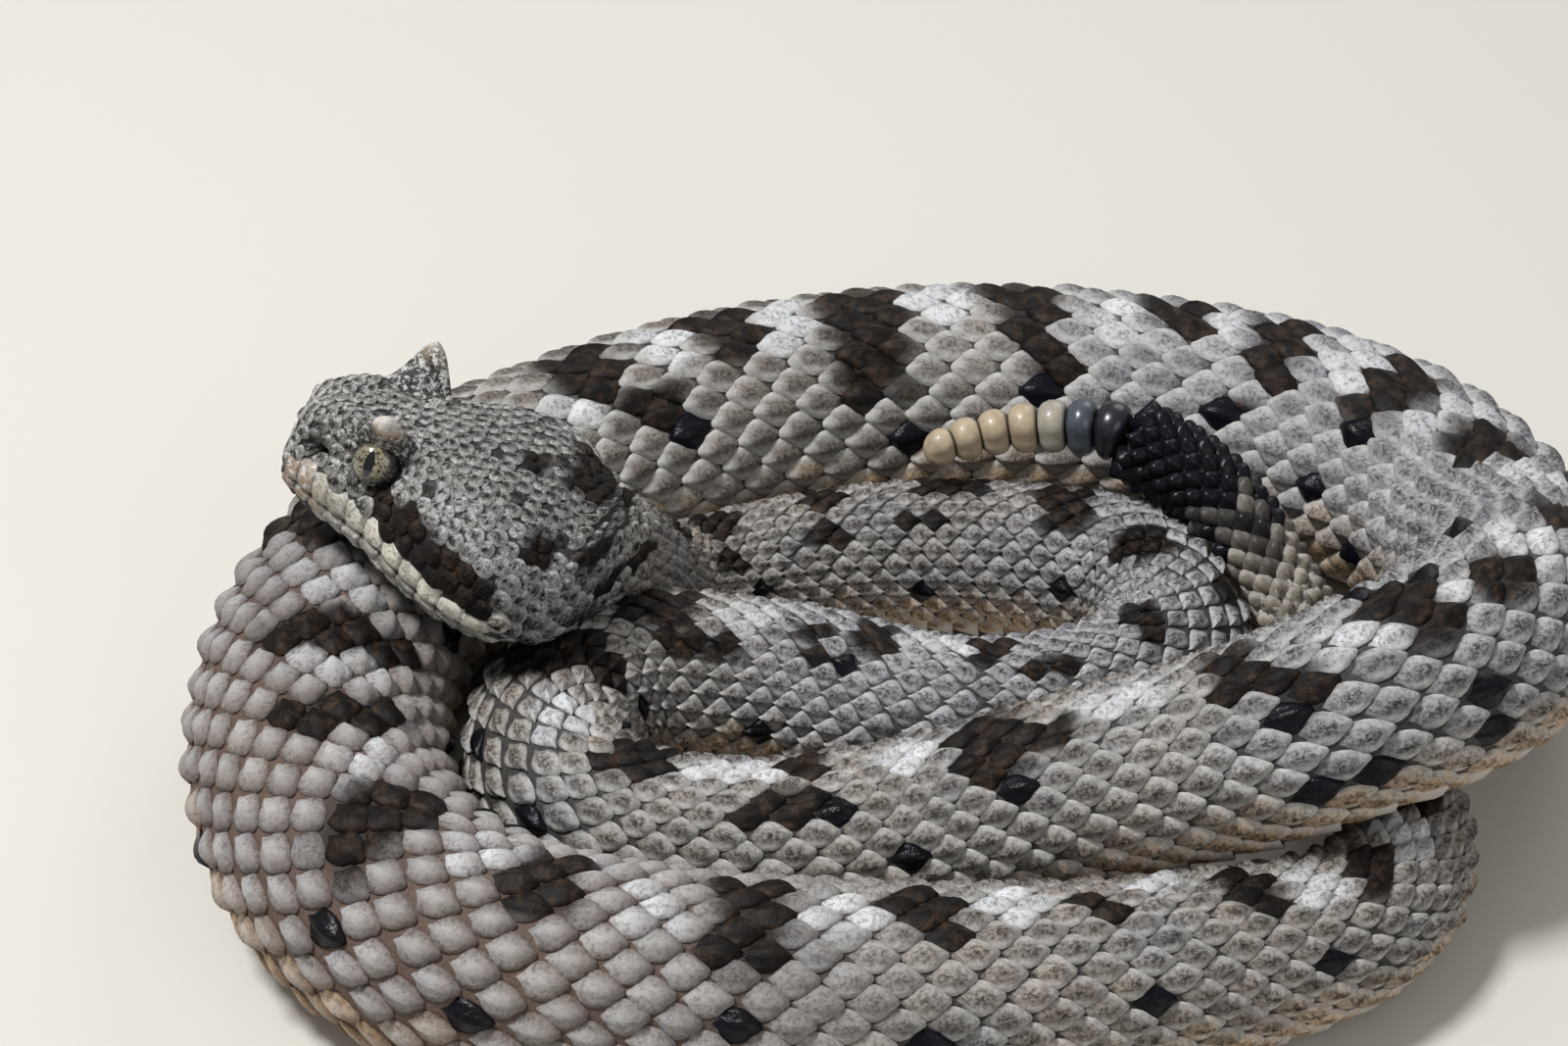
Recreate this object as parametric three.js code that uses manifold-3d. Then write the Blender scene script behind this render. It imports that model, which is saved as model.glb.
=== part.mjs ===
// Coiled sidewinder rattlesnake, a still life-size model. Units are millimetres, +Z is up.
// The body is one long bent tube: a run of arcs in plan, lifted where it climbs or crosses itself.
import * as THREE from 'three';
import { mergeVertices } from 'three/addons/utils/BufferGeometryUtils.js';
import Module from 'manifold-3d';

const wasm = await Module();
wasm.setup();

// ---- driving dimensions ----
const seam = 0.3;                 // thin cut between neighbouring pieces
const origin = [10.63, -15.51];     // moves the middle of the coil's footprint to x = y = 0
const bellyDepth = 0.86;          // flat belly below the middle of the body, in half heights
const ringStep = 4.6;             // spacing of the rings along the body
const ringSides = 20;

// back of the skull, where the body's line starts, and its heading in plan (degrees)
const start = { x: -18.1, y: -14.3, heading: 41.5 };

// bends in plan, head to tail: [length along the body, turn to the left in degrees]
const bends = [
  [13.5, 18.5],   // neck comes down off the skull
  [13.5, -47.5],
  [28, -29.5],    // first inner run
  [17.5, -119.5], // tight inner bend
  [23, -66.5],
  [17, 26],       // second inner run
  [25.5, 156.5],  // tight bend under the jaw
  [17, 30.5],
  [30.5, -8.5],   // third run, against the outer loop
  [39, 89.5],     // big bend at the right
  [29.5, 66.5],
  [66.5, 58.5],   // back of the coil
  [46, 73.5],     // left of the coil, under the chin
  [25.5, 60.5],
  [54, 32.5],     // front of the coil
  [19.5, 72.5],   // hind end turns in under the third run
  [33, 40],
  [18, 43.5],
  [21.5, 79],     // tail hooks over the first run
  [20, -6],
];

// build of the body: at = distance from the skull, lift = belly above the ground
const posts = [
  { at: 0, wide: 11.4, high: 10.4, lift: 14 },
  { at: 4.6, wide: 10, high: 9.8, lift: 12.3 },
  { at: 10.5, wide: 9, high: 9.2, lift: 8.3 },
  { at: 16, wide: 9, high: 9.2, lift: 4.1 },
  { at: 21, wide: 9.6, high: 9.8, lift: 1.3 },
  { at: 27, wide: 10.8, high: 10.8, lift: 0.2 },
  { at: 33, wide: 11.6, high: 11.6, lift: 0 },
  { at: 44, wide: 12.4, high: 12.4, lift: 0 },
  { at: 60, wide: 13, high: 13, lift: 0 },
  { at: 87, wide: 13.4, high: 13.4, lift: 0 },
  { at: 104, wide: 13.6, high: 13.8, lift: 0.2 },
  { at: 123, wide: 13.8, high: 14, lift: 1.4 },
  { at: 143, wide: 14.4, high: 13.8, lift: 0.5 },
  { at: 158, wide: 14.8, high: 14.2, lift: 1 },
  { at: 171, wide: 15.2, high: 14.4, lift: 3.8 },
  { at: 183, wide: 15.8, high: 14.6, lift: 7 },
  { at: 196, wide: 16.8, high: 15.4, lift: 10.2 },
  { at: 210, wide: 18, high: 16.4, lift: 8.6 },
  { at: 232, wide: 19.8, high: 17.6, lift: 0.8 },
  { at: 246, wide: 20.4, high: 18.2, lift: 0 },
  { at: 300, wide: 20.6, high: 18.4, lift: 0 },
  { at: 348, wide: 20.8, high: 18.4, lift: 0 },
  { at: 370, wide: 20, high: 18, lift: 0 },
  { at: 391, wide: 18.6, high: 17.2, lift: 0 },
  { at: 414, wide: 16.8, high: 15.8, lift: 0 },
  { at: 437, wide: 14.4, high: 13.4, lift: 0 },
  { at: 456, wide: 11.6, high: 10.8, lift: 0 },
  { at: 473, wide: 9.2, high: 8.8, lift: 0 },
  { at: 482, wide: 8, high: 8, lift: 1 },
  { at: 486.5, wide: 7.5, high: 7.5, lift: 3.2 },
  { at: 491, wide: 7.1, high: 7.2, lift: 6.0 },
  { at: 496, wide: 6.9, high: 6.9, lift: 9.2 },
  { at: 501, wide: 6.8, high: 6.8, lift: 11.5 },
  { at: 505.5, wide: 6.7, high: 6.8, lift: 12.7 },
  { at: 509.5, wide: 6.2, high: 6.4, lift: 13.8 },
  { at: 530, wide: 3, high: 3.6, lift: 12.9 },
];

// named lengths of the body and where each starts; the tail ends at the rattle
const lengths = [
  ['neck', 0.5], ['trunk_1', 24], ['trunk_2', 50], ['trunk_3', 84], ['trunk_4', 106],
  ['trunk_5', 140], ['trunk_6', 190], ['trunk_7', 238], ['trunk_8', 300], ['trunk_9', 352],
  ['trunk_10', 396], ['trunk_11', 438], ['tail', 472],
];
const tailEnd = 508;
// where loops press on each other, the first gives way to the others
const pressed = {
  head: ['neck'], lower_jaw: ['neck', 'trunk_4', 'trunk_8', 'trunk_9'], neck: ['trunk_4', 'trunk_8'], trunk_1: ['trunk_7', 'trunk_8'],
  trunk_4: ['trunk_9'], trunk_5: ['trunk_2', 'trunk_3', 'trunk_9', 'trunk_10'], tail: ['trunk_2', 'trunk_6', 'trunk_7'],
};
const rattle = { count: 7, pitch: 2.4, first: { wide: 4.4, high: 4.8 }, last: { wide: 2.8, high: 3.2 } };

// ---- the body's line ----
function along(key, s) {           // smooth value of one column of posts (monotone cubic)
  let i = 0;
  while (i < posts.length - 2 && s > posts[i + 1].at) i += 1;
  const slope = (k) => (posts[k + 1][key] - posts[k][key]) / (posts[k + 1].at - posts[k].at);
  const tangent = (k) => {
    if (k === 0 || k === posts.length - 1) return 0;
    const a = slope(k - 1);
    const b = slope(k);
    return a * b > 0 ? (2 * a * b) / (a + b) : 0;
  };
  const h = posts[i + 1].at - posts[i].at;
  const t = Math.min(Math.max((s - posts[i].at) / h, 0), 1);
  const t2 = t * t;
  const t3 = t2 * t;
  return (2 * t3 - 3 * t2 + 1) * posts[i][key] + (t3 - 2 * t2 + t) * h * tangent(i)
    + (3 * t2 - 2 * t3) * posts[i + 1][key] + (t3 - t2) * h * tangent(i + 1);
}

function headingAt(s) {
  let heading = start.heading;
  let left = s;
  for (const [length, turn] of bends) {
    const part = Math.min(Math.max(left / length, 0), 1);
    heading += turn * part;
    left -= length;
  }
  return THREE.MathUtils.degToRad(heading);
}

const middleHeight = (s) => along('lift', s) + (along('high', s) * bellyDepth) / (1 + bellyDepth);

const lineStep = 0.5;
const line = [new THREE.Vector2(start.x, start.y)];
const lineLength = posts[posts.length - 1].at;
for (let s = lineStep / 2; s < lineLength; s += lineStep) {
  const climb = (middleHeight(s + lineStep / 2) - middleHeight(s - lineStep / 2)) / lineStep;
  const run = lineStep * Math.sqrt(Math.max(1 - climb * climb, 0.04));
  const last = line[line.length - 1];
  line.push(new THREE.Vector2(last.x + Math.cos(headingAt(s)) * run, last.y + Math.sin(headingAt(s)) * run));
}

function pointAt(s) {
  const k = Math.min(Math.max(s / lineStep, 0), line.length - 1.001);
  const spot = line[Math.floor(k)].clone().lerp(line[Math.floor(k) + 1], k % 1);
  return new THREE.Vector3(spot.x - origin[0], spot.y - origin[1], middleHeight(s));
}

function frameAt(s) {               // forward, right and up directions of the body at s
  const forward = pointAt(s + 0.5).sub(pointAt(s - 0.5)).normalize();
  const right = new THREE.Vector3().crossVectors(forward, new THREE.Vector3(0, 0, 1)).normalize();
  return { forward, right, up: new THREE.Vector3().crossVectors(right, forward) };
}

// one ring of the body: round back and sides, flat belly
function ringAt(s, grow = 0) {
  const { right, up } = frameAt(s);
  const middle = pointAt(s);
  const halfWide = along('wide', s) / 2 + grow;
  const halfHigh = along('high', s) / (1 + bellyDepth) + grow;
  const ring = [];
  for (let k = 0; k < ringSides; k += 1) {
    const angle = (2 * Math.PI * k) / ringSides;
    ring.push(middle.clone()
      .addScaledVector(right, halfWide * Math.sin(angle))
      .addScaledVector(up, halfHigh * Math.max(Math.cos(angle), -bellyDepth)));
  }
  return ring;
}

// ---- closed lofts ----
function loft(rings) {
  const sides = rings[0].length;
  const points = rings.flat();
  const first = points.length;
  const middleOf = (ring) => ring.reduce((sum, p) => sum.add(p), new THREE.Vector3()).divideScalar(sides);
  points.push(middleOf(rings[0]), middleOf(rings[rings.length - 1]));
  const faces = [];
  for (let r = 0; r < rings.length - 1; r += 1) {
    for (let k = 0; k < sides; k += 1) {
      const a = r * sides + k;
      const b = r * sides + ((k + 1) % sides);
      faces.push(a, b, b + sides, a, b + sides, a + sides);
    }
  }
  const lastRing = (rings.length - 1) * sides;
  for (let k = 0; k < sides; k += 1) {
    const next = (k + 1) % sides;
    faces.push(first, next, k, first + 1, lastRing + k, lastRing + next);
  }
  const geometry = new THREE.BufferGeometry().setFromPoints(points);
  geometry.setIndex(faces);
  return geometry;
}

function cut(geometry, tools) {
  const solidOf = (g) => {
    const plain = g.clone();
    plain.deleteAttribute('normal');
    plain.deleteAttribute('uv');
    const merged = mergeVertices(plain, 1e-4);
    return new wasm.Manifold(new wasm.Mesh({
      numProp: 3,
      vertProperties: Float32Array.from(merged.attributes.position.array),
      triVerts: Uint32Array.from(merged.index.array),
    }));
  };
  let solid = solidOf(geometry);
  for (const tool of tools) solid = solid.subtract(solidOf(tool));
  const mesh = solid.getMesh();
  const result = new THREE.BufferGeometry();
  result.setAttribute('position', new THREE.BufferAttribute(mesh.vertProperties, 3));
  result.setIndex(new THREE.BufferAttribute(mesh.triVerts, 1));
  return result;
}

// ---- head, in its own frame: +X forward from the snout's tip, +Y left, +Z up from the mouth line ----
const headPose = { x: -38.1, y: -9.3, z: 25.3, yaw: 164, pitch: -22, roll: 5 };
const headSides = 22;
// back = distance behind the snout's tip; half width, height over the mouth line, depth of the jaw
const headRings = [
  { back: 0, half: 2.4, top: 2.8, jaw: 0.9, jawHalf: 2.1 },
  { back: 0.5, half: 3.6, top: 4.6, jaw: 1.7, jawHalf: 3.2 },
  { back: 1.8, half: 4.5, top: 6.2, jaw: 2.3, jawHalf: 4.1 },
  { back: 3.6, half: 5.2, top: 7, jaw: 2.7, jawHalf: 4.8 },
  { back: 5.6, half: 5.9, top: 7.5, jaw: 2.9, jawHalf: 5.5 },
  { back: 8, half: 6.6, top: 7.9, jaw: 3.1, jawHalf: 6.2 },
  { back: 10, half: 7.5, top: 8.3, jaw: 3.2, jawHalf: 7.1 },
  { back: 12.5, half: 9, top: 8.8, jaw: 3.4, jawHalf: 8.4 },
  { back: 15.5, half: 10.4, top: 9.1, jaw: 3.5, jawHalf: 9.6 },
  { back: 18.3, half: 11, top: 9, jaw: 3.4, jawHalf: 10.1 },
  { back: 20.8, half: 10.6, top: 8.6, jaw: 3.2, jawHalf: 9.6 },
  { back: 22.8, half: 9.2, top: 8, jaw: 2.8, jawHalf: 8.2 },
];
const eye = { back: 7.4, out: 4.8, up: 4.7, radius: 1.85 };
const horn = { back: 7.6, out: 4.6, up: 7.2, tall: 4.1, half: 1.1, long: 2.2, lean: 34, sweep: 0.2 };

function crownRing({ back, half, top }) {
  const ring = [];
  for (let k = 0; k < headSides; k += 1) {
    const angle = (Math.PI * k) / (headSides - 1);
    const side = -Math.sign(Math.cos(angle)) * Math.abs(Math.cos(angle)) ** 0.8;
    ring.push(new THREE.Vector3(-back, half * side, top * Math.sin(angle) ** 0.72));
  }
  return ring;
}

function jawRing({ back, jaw, jawHalf }) {
  const ring = [];
  for (let k = 0; k < headSides; k += 1) {
    const angle = (Math.PI * k) / (headSides - 1);
    const side = Math.sign(Math.cos(angle)) * Math.abs(Math.cos(angle)) ** 0.8;
    ring.push(new THREE.Vector3(-back, jawHalf * side, -seam - jaw * Math.sin(angle) ** 0.8));
  }
  return ring;
}

const eyeBall = (side, radius) => new THREE.SphereGeometry(radius, 16, 10)
  .translate(-eye.back, side * eye.out, eye.up);

function hornCone(side, extra) {
  const cone = new THREE.LatheGeometry([
    new THREE.Vector2(0, -0.8 - extra), new THREE.Vector2(horn.half + extra, -0.8 - extra),
    new THREE.Vector2(horn.half * 0.8 + extra, horn.tall * 0.4),
    new THREE.Vector2(horn.half * 0.4 + extra, horn.tall * 0.8), new THREE.Vector2(0, horn.tall + extra),
  ], 14);
  cone.scale(horn.long, 1, 1);
  const at = cone.attributes.position;
  for (let k = 0; k < at.count; k += 1) at.setX(k, at.getX(k) - (horn.sweep * Math.max(at.getY(k), 0)) / horn.tall);
  cone.rotateX(Math.PI / 2);
  cone.rotateX(THREE.MathUtils.degToRad(-side * horn.lean));
  return cone.translate(-horn.back, side * horn.out, horn.up);
}

const headGroup = new THREE.Group();
headGroup.rotation.set(
  THREE.MathUtils.degToRad(headPose.roll),
  THREE.MathUtils.degToRad(headPose.pitch),
  THREE.MathUtils.degToRad(headPose.yaw),
  'ZYX',
);
headGroup.position.set(headPose.x - origin[0], headPose.y - origin[1], headPose.z);

// ---- colours ----
const finish = (color, roughness) => new THREE.MeshStandardMaterial({ color, roughness, metalness: 0 });
const skinFinish = () => finish('#8f857b', 0.75);
const group = new THREE.Group();

function add(parent, name, geometry, material) {
  const mesh = new THREE.Mesh(geometry, material);
  mesh.name = name;
  parent.add(mesh);
}

// ---- assembly ----
function bodyLength(name, grow = 0) {      // one named length of the body as a loft
  const index = lengths.findIndex((entry) => entry[0] === name);
  const from = lengths[index][1] + seam / 2;
  const to = (index + 1 < lengths.length ? lengths[index + 1][1] : tailEnd) - seam / 2;
  const count = Math.max(Math.round((to - from) / ringStep), 3);
  const rings = [];
  for (let k = 0; k <= count; k += 1) {
    const past = k === 0 ? -grow : Number(k === count) * grow;
    rings.push(ringAt(from + ((to - from) * k) / count + past, grow));
  }
  return loft(rings);
}

// what a piece gives way to, in the frame of the group it sits in
function pressing(name, frame = null) {
  return (pressed[name] || []).map((other) => {
    const tool = bodyLength(other, seam);
    return frame ? tool.applyMatrix4(frame) : tool;
  });
}

headGroup.updateMatrix();
const intoHead = headGroup.matrix.clone().invert();
group.add(headGroup);
const eyeRoom = [1, -1].map((side) => eyeBall(side, eye.radius + seam / 2));
const hornRoom = [1, -1].map((side) => hornCone(side, seam / 2));
add(headGroup, 'head', cut(loft(headRings.map(crownRing)), [...eyeRoom, ...hornRoom, ...pressing('head', intoHead)]), skinFinish());
add(headGroup, 'lower_jaw', cut(loft(headRings.map(jawRing)), pressing('lower_jaw', intoHead)), skinFinish());
[['left', 1], ['right', -1]].forEach(([name, side], k) => {
  add(headGroup, `eye_${name}`, cut(eyeBall(side, eye.radius), []), finish('#8d8468', 0.15));
  add(headGroup, `horn_${name}`, cut(hornCone(side, 0), [eyeRoom[k]]), finish('#b9ab93', 0.6));
});

for (const [name] of lengths) {
  add(group, name, cut(bodyLength(name), pressing(name)), name === 'tail' ? finish('#24252a', 0.5) : skinFinish());
}

for (let k = 0; k < rattle.count; k += 1) {
  const from = tailEnd + k * rattle.pitch;
  const size = (t, key) => rattle.first[key] + (rattle.last[key] - rattle.first[key]) * t;
  const rings = [[0, 0.82], [0.22, 1], [0.72, 0.97], [1, 0.7]].map(([part, fat]) => {
    const s = from + seam / 2 + (rattle.pitch - seam) * part;
    const { right, up } = frameAt(s);
    const t = (k + part) / rattle.count;
    return Array.from({ length: 14 }, (unused, j) => pointAt(s)
      .addScaledVector(right, (size(t, 'wide') / 2) * fat * Math.sin((2 * Math.PI * j) / 14))
      .addScaledVector(up, (size(t, 'high') / 2) * fat * Math.cos((2 * Math.PI * j) / 14)));
  });
  add(group, `rattle_${k + 1}`, loft(rings), finish(k < 2 ? '#3d4148' : '#b8a888', 0.45));
}

export default group;
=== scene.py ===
import math

import bmesh
import bpy
import numpy as np
from mathutils import Euler, Matrix, Vector


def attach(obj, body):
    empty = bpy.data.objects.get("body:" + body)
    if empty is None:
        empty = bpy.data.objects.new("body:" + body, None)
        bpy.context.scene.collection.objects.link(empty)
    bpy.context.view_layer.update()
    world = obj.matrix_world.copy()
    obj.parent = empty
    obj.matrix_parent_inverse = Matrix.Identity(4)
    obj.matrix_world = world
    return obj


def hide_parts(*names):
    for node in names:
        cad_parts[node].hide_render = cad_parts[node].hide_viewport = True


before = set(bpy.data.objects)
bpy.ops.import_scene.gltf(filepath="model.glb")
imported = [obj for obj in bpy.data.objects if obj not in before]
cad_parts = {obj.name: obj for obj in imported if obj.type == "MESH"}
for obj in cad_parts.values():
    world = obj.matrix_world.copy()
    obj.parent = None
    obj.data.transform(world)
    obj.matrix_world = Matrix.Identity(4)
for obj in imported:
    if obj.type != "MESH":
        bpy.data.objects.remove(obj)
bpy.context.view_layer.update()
mm = 0.001
chance = np.random.default_rng(7)

# the line of the body, in millimetres from the skull to the tail
coil = {
    "start": (-18.1, -14.3, 41.5),       # x, y and heading of the back of the skull
    "middle": (10.63, -15.51),           # middle of the footprint
    "belly": 0.86,                       # flat belly, in half heights below the middle
    "step": 0.5,
    "steepest": 0.04,                    # least square of the level part of a step
    "tailEnd": 508.0,
    "bends": [                           # length, turn to the left
        (13.5, 18.5), (13.5, -47.5), (28, -29.5), (17.5, -119.5), (23, -66.5), (17, 26), (25.5, 156.5),
        (17, 30.5), (30.5, -8.5), (39, 89.5), (29.5, 66.5), (66.5, 58.5), (46, 73.5), (25.5, 60.5),
        (54, 32.5), (19.5, 72.5), (33, 40), (18, 43.5), (21.5, 79), (20, -6),
    ],
    "build": [                           # at, width, height, lift off the ground
        (0, 11.4, 10.4, 14), (4.6, 10, 9.8, 12.3), (10.5, 9, 9.2, 8.3), (16, 9, 9.2, 4.1),
        (21, 9.6, 9.8, 1.3), (27, 10.8, 10.8, 0.2), (33, 11.6, 11.6, 0), (44, 12.4, 12.4, 0),
        (60, 13, 13, 0), (87, 13.4, 13.4, 0), (104, 13.6, 13.8, 0.2), (123, 13.8, 14, 1.4),
        (143, 14.4, 13.8, 0.5), (158, 14.8, 14.2, 1), (171, 15.2, 14.4, 3.8), (183, 15.8, 14.6, 7),
        (196, 16.8, 15.4, 10.2), (210, 18, 16.4, 8.6), (232, 19.8, 17.6, 0.8), (246, 20.4, 18.2, 0),
        (300, 20.6, 18.4, 0), (348, 20.8, 18.4, 0), (370, 20, 18, 0), (391, 18.6, 17.2, 0),
        (414, 16.8, 15.8, 0), (437, 14.4, 13.4, 0), (456, 11.6, 10.8, 0), (473, 9.2, 8.8, 0),
        (482, 8, 8, 1), (486.5, 7.5, 7.5, 3.2), (491, 7.1, 7.2, 6), (496, 6.9, 6.9, 9.2),
        (501, 6.8, 6.8, 11.5), (505.5, 6.7, 6.8, 12.7), (509.5, 6.2, 6.4, 13.8), (530, 3, 3.6, 12.9),
    ],
}


def smoothColumn(table, column, at):
    # smooth value of one column of a table of stations, with no overshoot
    rows = np.array(table, float)
    x, y = rows[:, 0], rows[:, column]
    slope = np.diff(y) / np.diff(x)
    tangent = np.zeros(len(x))
    for k in range(1, len(x) - 1):
        if slope[k - 1] * slope[k] > 0:
            tangent[k] = 2 * slope[k - 1] * slope[k] / (slope[k - 1] + slope[k])
    at = np.atleast_1d(np.asarray(at, float))
    i = np.clip(np.searchsorted(x, at, side="left") - 1, 0, len(x) - 2)
    h = x[i + 1] - x[i]
    t = np.clip((at - x[i]) / h, 0, 1)
    return ((2 * t**3 - 3 * t**2 + 1) * y[i] + (t**3 - 2 * t**2 + t) * h * tangent[i]
            + (3 * t**2 - 2 * t**3) * y[i + 1] + (t**3 - t**2) * h * tangent[i + 1])


def unit(vectors):
    return vectors / np.maximum(np.linalg.norm(vectors, axis=-1, keepdims=True), 1e-9)


def summed(steps):
    # running total that starts at 0
    return np.concatenate([[0], np.cumsum(steps)])


def middleHeight(s):
    belly = coil["belly"]
    return smoothColumn(coil["build"], 3, s) + smoothColumn(coil["build"], 2, s) * belly / (1 + belly)


def walkLine():
    # walks the bends and gives the middle of the body at every step
    step = coil["step"]
    halfway = np.arange(step / 2, coil["build"][-1][0], step)
    lengths, turns = zip(*coil["bends"])
    startX, startY, facing = coil["start"]
    heading = np.radians(facing + np.interp(halfway, summed(lengths), summed(turns)))
    climb = (middleHeight(halfway + step / 2) - middleHeight(halfway - step / 2)) / step
    run = step * np.sqrt(np.maximum(1 - climb**2, coil["steepest"]))
    x = startX - coil["middle"][0] + summed(np.cos(heading) * run)
    y = startY - coil["middle"][1] + summed(np.sin(heading) * run)
    s = np.arange(len(x)) * step
    return s, np.stack([x, y, middleHeight(s)], 1)


lineAt, linePoints = walkLine()


def pointOn(s):
    return np.stack([np.interp(s, lineAt, linePoints[:, k]) for k in range(3)], -1)


def bodyFrame(s):
    forward = unit(pointOn(s + 0.5) - pointOn(s - 0.5))
    right = unit(np.cross(forward, [0, 0, 1]))
    return forward, right, np.cross(right, forward)


# the head in its own frame: x forward from the snout, y left, z up from the mouth
head = {
    "place": (-38.1, -9.3, 25.3), "yaw": 164, "pitch": -22, "roll": 5,
    "length": 22.8,
    "rings": [                           # back, half width, height, then depth and half width of the jaw
        (0.0, 2.4, 2.8, 0.9, 2.1), (0.5, 3.6, 4.6, 1.7, 3.2), (1.8, 4.5, 6.2, 2.3, 4.1),
        (3.6, 5.2, 7.0, 2.7, 4.8), (5.6, 5.9, 7.5, 2.9, 5.5), (8.0, 6.6, 7.9, 3.1, 6.2),
        (10.0, 7.5, 8.3, 3.2, 7.1), (12.5, 9.0, 8.8, 3.4, 8.4), (15.5, 10.4, 9.1, 3.5, 9.6),
        (18.3, 11.0, 9.0, 3.4, 10.1), (20.8, 10.6, 8.6, 3.2, 9.6), (22.8, 9.2, 8.0, 2.8, 8.2),
    ],
    "fullness": (0.8, 0.72, 0.8),        # of the sides, the crown and the jaw: the smaller, the squarer
    "lipStep": 0.12,                     # how fast the lip draws in to the jaw below the mouth, in radians
    "coat": 0.3,                         # depth of the scales
    "joins": 7.0,                        # where the neck takes over, along the body
    "eye": (7.2, 4.75, 5.6), "eyeRadius": 1.9,
    "horn": (7.5, 4.0, 7.6),
    "forms": [                           # how far out, then middle (back, across, up) and reach
        (-0.95, (7.2, 4.75, 5.6), (2.2, 2.2, 2.0)),     # eye socket
        (1.15, (7.4, 4.25, 8.0), (3.2, 1.5, 1.1)),      # brow
        (0.95, (3.4, 3.2, 6.6), (2.8, 1.7, 1.3)),       # ridge from the brow to the snout
        (0.55, (1.0, 2.2, 4.6), (1.2, 1.5, 1.3)),       # tip of the snout
        (-0.75, (2.6, 4.4, 3.6), (1.3, 0.9, 0.7)),      # hollow in front of the eye
        (-0.9, (2.5, 4.0, 3.7), (0.75, 0.9, 0.6)),      # heat pit
        (-0.7, (0.9, 2.4, 5.1), (0.45, 0.55, 0.45)),    # nostril
        (0.45, (5.2, 5.4, 1.9), (2.6, 1.2, 1.0)),       # upper lip under the eye
        (-0.35, (12.0, 3.0, 8.8), (4.0, 1.8, 1.5)),     # dip beside the crown
        (0.45, (17.5, 7.6, 5.4), (4.5, 2.8, 3.0)),      # cheek
        (-0.3, (14.0, 9.4, 1.6), (5.0, 1.2, 0.9)),      # hollow over the corner of the mouth
        (-0.5, (4.0, 0.0, 7.2), (3.5, 1.6, 1.5)),       # dip along the middle of the snout
    ],
    "mouth": {"depth": 0.32, "below": 0.05, "half": 0.28, "ends": 21.3, "gap": 0.3},
}
headTurn = np.array(Matrix.Rotation(math.radians(head["yaw"]), 3, "Z")
                    @ Matrix.Rotation(math.radians(head["pitch"]), 3, "Y")
                    @ Matrix.Rotation(math.radians(head["roll"]), 3, "X"))
headPlace = np.array(head["place"]) - np.array([*coil["middle"], 0])


def fromHead(points):
    return np.asarray(points, float) @ headTurn.T + headPlace


def intoHead(points):
    return (points - headPlace) @ headTurn


def headRing(back, angle, shrink):
    # one ring of the head; angle 0 is the crown, 90 degrees the mouth line on the left
    half, top, jaw, jawHalf = (smoothColumn(head["rings"], k, back)[0] - shrink for k in (1, 2, 3, 4))
    fullSide, fullTop, fullJaw = head["fullness"]
    side, rise = np.sin(angle), np.cos(angle)
    below = np.maximum(np.abs(angle) - math.pi / 2, 0)
    lip = jawHalf + (half - jawHalf) * np.exp(-(below / head["lipStep"]) ** 2)
    y = np.where(rise >= 0, half, lip) * np.sign(side) * np.abs(side) ** fullSide
    z = np.where(rise >= 0, top * np.abs(rise) ** fullTop, -jaw * np.abs(rise) ** fullJaw)
    return np.stack([np.full_like(y, -back), y, z], -1)


def shapeHead(rings):
    # pushes the forms of the face out or in; rings is stations x around x 3 in the head's frame
    out = unit(np.cross(np.gradient(rings, axis=1), np.gradient(rings, axis=0)))
    push = np.zeros(rings.shape[:2])
    for amount, (back, across, up), reach in head["forms"]:
        for side in ((1, -1) if across else (1,)):
            gap = np.linalg.norm((rings - (-back, side * across, up)) / np.array(reach), axis=-1)
            push += amount * np.exp(-gap**2)
    mouth = head["mouth"]
    line = np.exp(-((rings[..., 2] + mouth["below"]) / mouth["half"]) ** 2)
    reaches = (rings[..., 0] > -mouth["ends"]) * (np.abs(rings[..., 1]) > mouth["gap"])
    push -= mouth["depth"] * line * reaches
    return rings + out * push[..., None]


# one table of the whole skin: stations from the snout to the tail, each a ring of points
skinTable = {
    "around": 144, "bodyStep": 1.0, "headStep": 0.28,
    "crowded": (0.35, 0.25),             # how much closer points lie to the mouth line, above and below it
    "blunt": 0.45, "snoutCap": 3.2,      # depth of the blunt front, and what it takes up along the table
    "snoutRings": (0.0, 0.06, 0.13, 0.2, 0.28, 0.36, 0.44, 0.52, 0.6, 0.68, 0.76, 0.84, 0.9, 0.95, 0.98),
    "napeRings": 24, "napePull": (9, 7), # how strongly the nape leaves the skull and meets the neck
    "tailCap": 0.6, "tailRings": (0.8, 0.5, 0.0),
    "bellyCoat": 0.5, "bellySoft": 0.18, # depth of the belly plates, and how softly the belly flattens
    "coat": [                            # along the body, depth of the scales
        (5, 0.3), (20, 0.46), (60, 0.54), (130, 0.62), (200, 0.74), (400, 0.76), (440, 0.68), (470, 0.6),
        (484, 0.7), (508, 0.7),
    ],
}


def evenRing(back, angle, shrink):
    # a ring of the head with its points spread evenly, closer together towards the mouth line
    quarter = 360
    half = headRing(back, np.linspace(0, math.pi, 2 * quarter + 1), shrink)
    walked = summed(np.linalg.norm(np.diff(half, axis=0), axis=1))
    corner = walked[quarter]
    t = np.abs(angle) / (math.pi / 2)
    upper, lower = np.minimum(t, 1), np.maximum(t - 1, 0)
    above, below = skinTable["crowded"]
    at = (corner * ((1 + above) * upper - above * upper**2)
          + (walked[-1] - corner) * ((1 - below) * lower + below * lower**2))
    ring = np.stack([np.interp(at, walked, half[:, k]) for k in range(3)], -1)
    ring[:, 1] *= np.where(angle < 0, -1, 1)
    return ring


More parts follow.
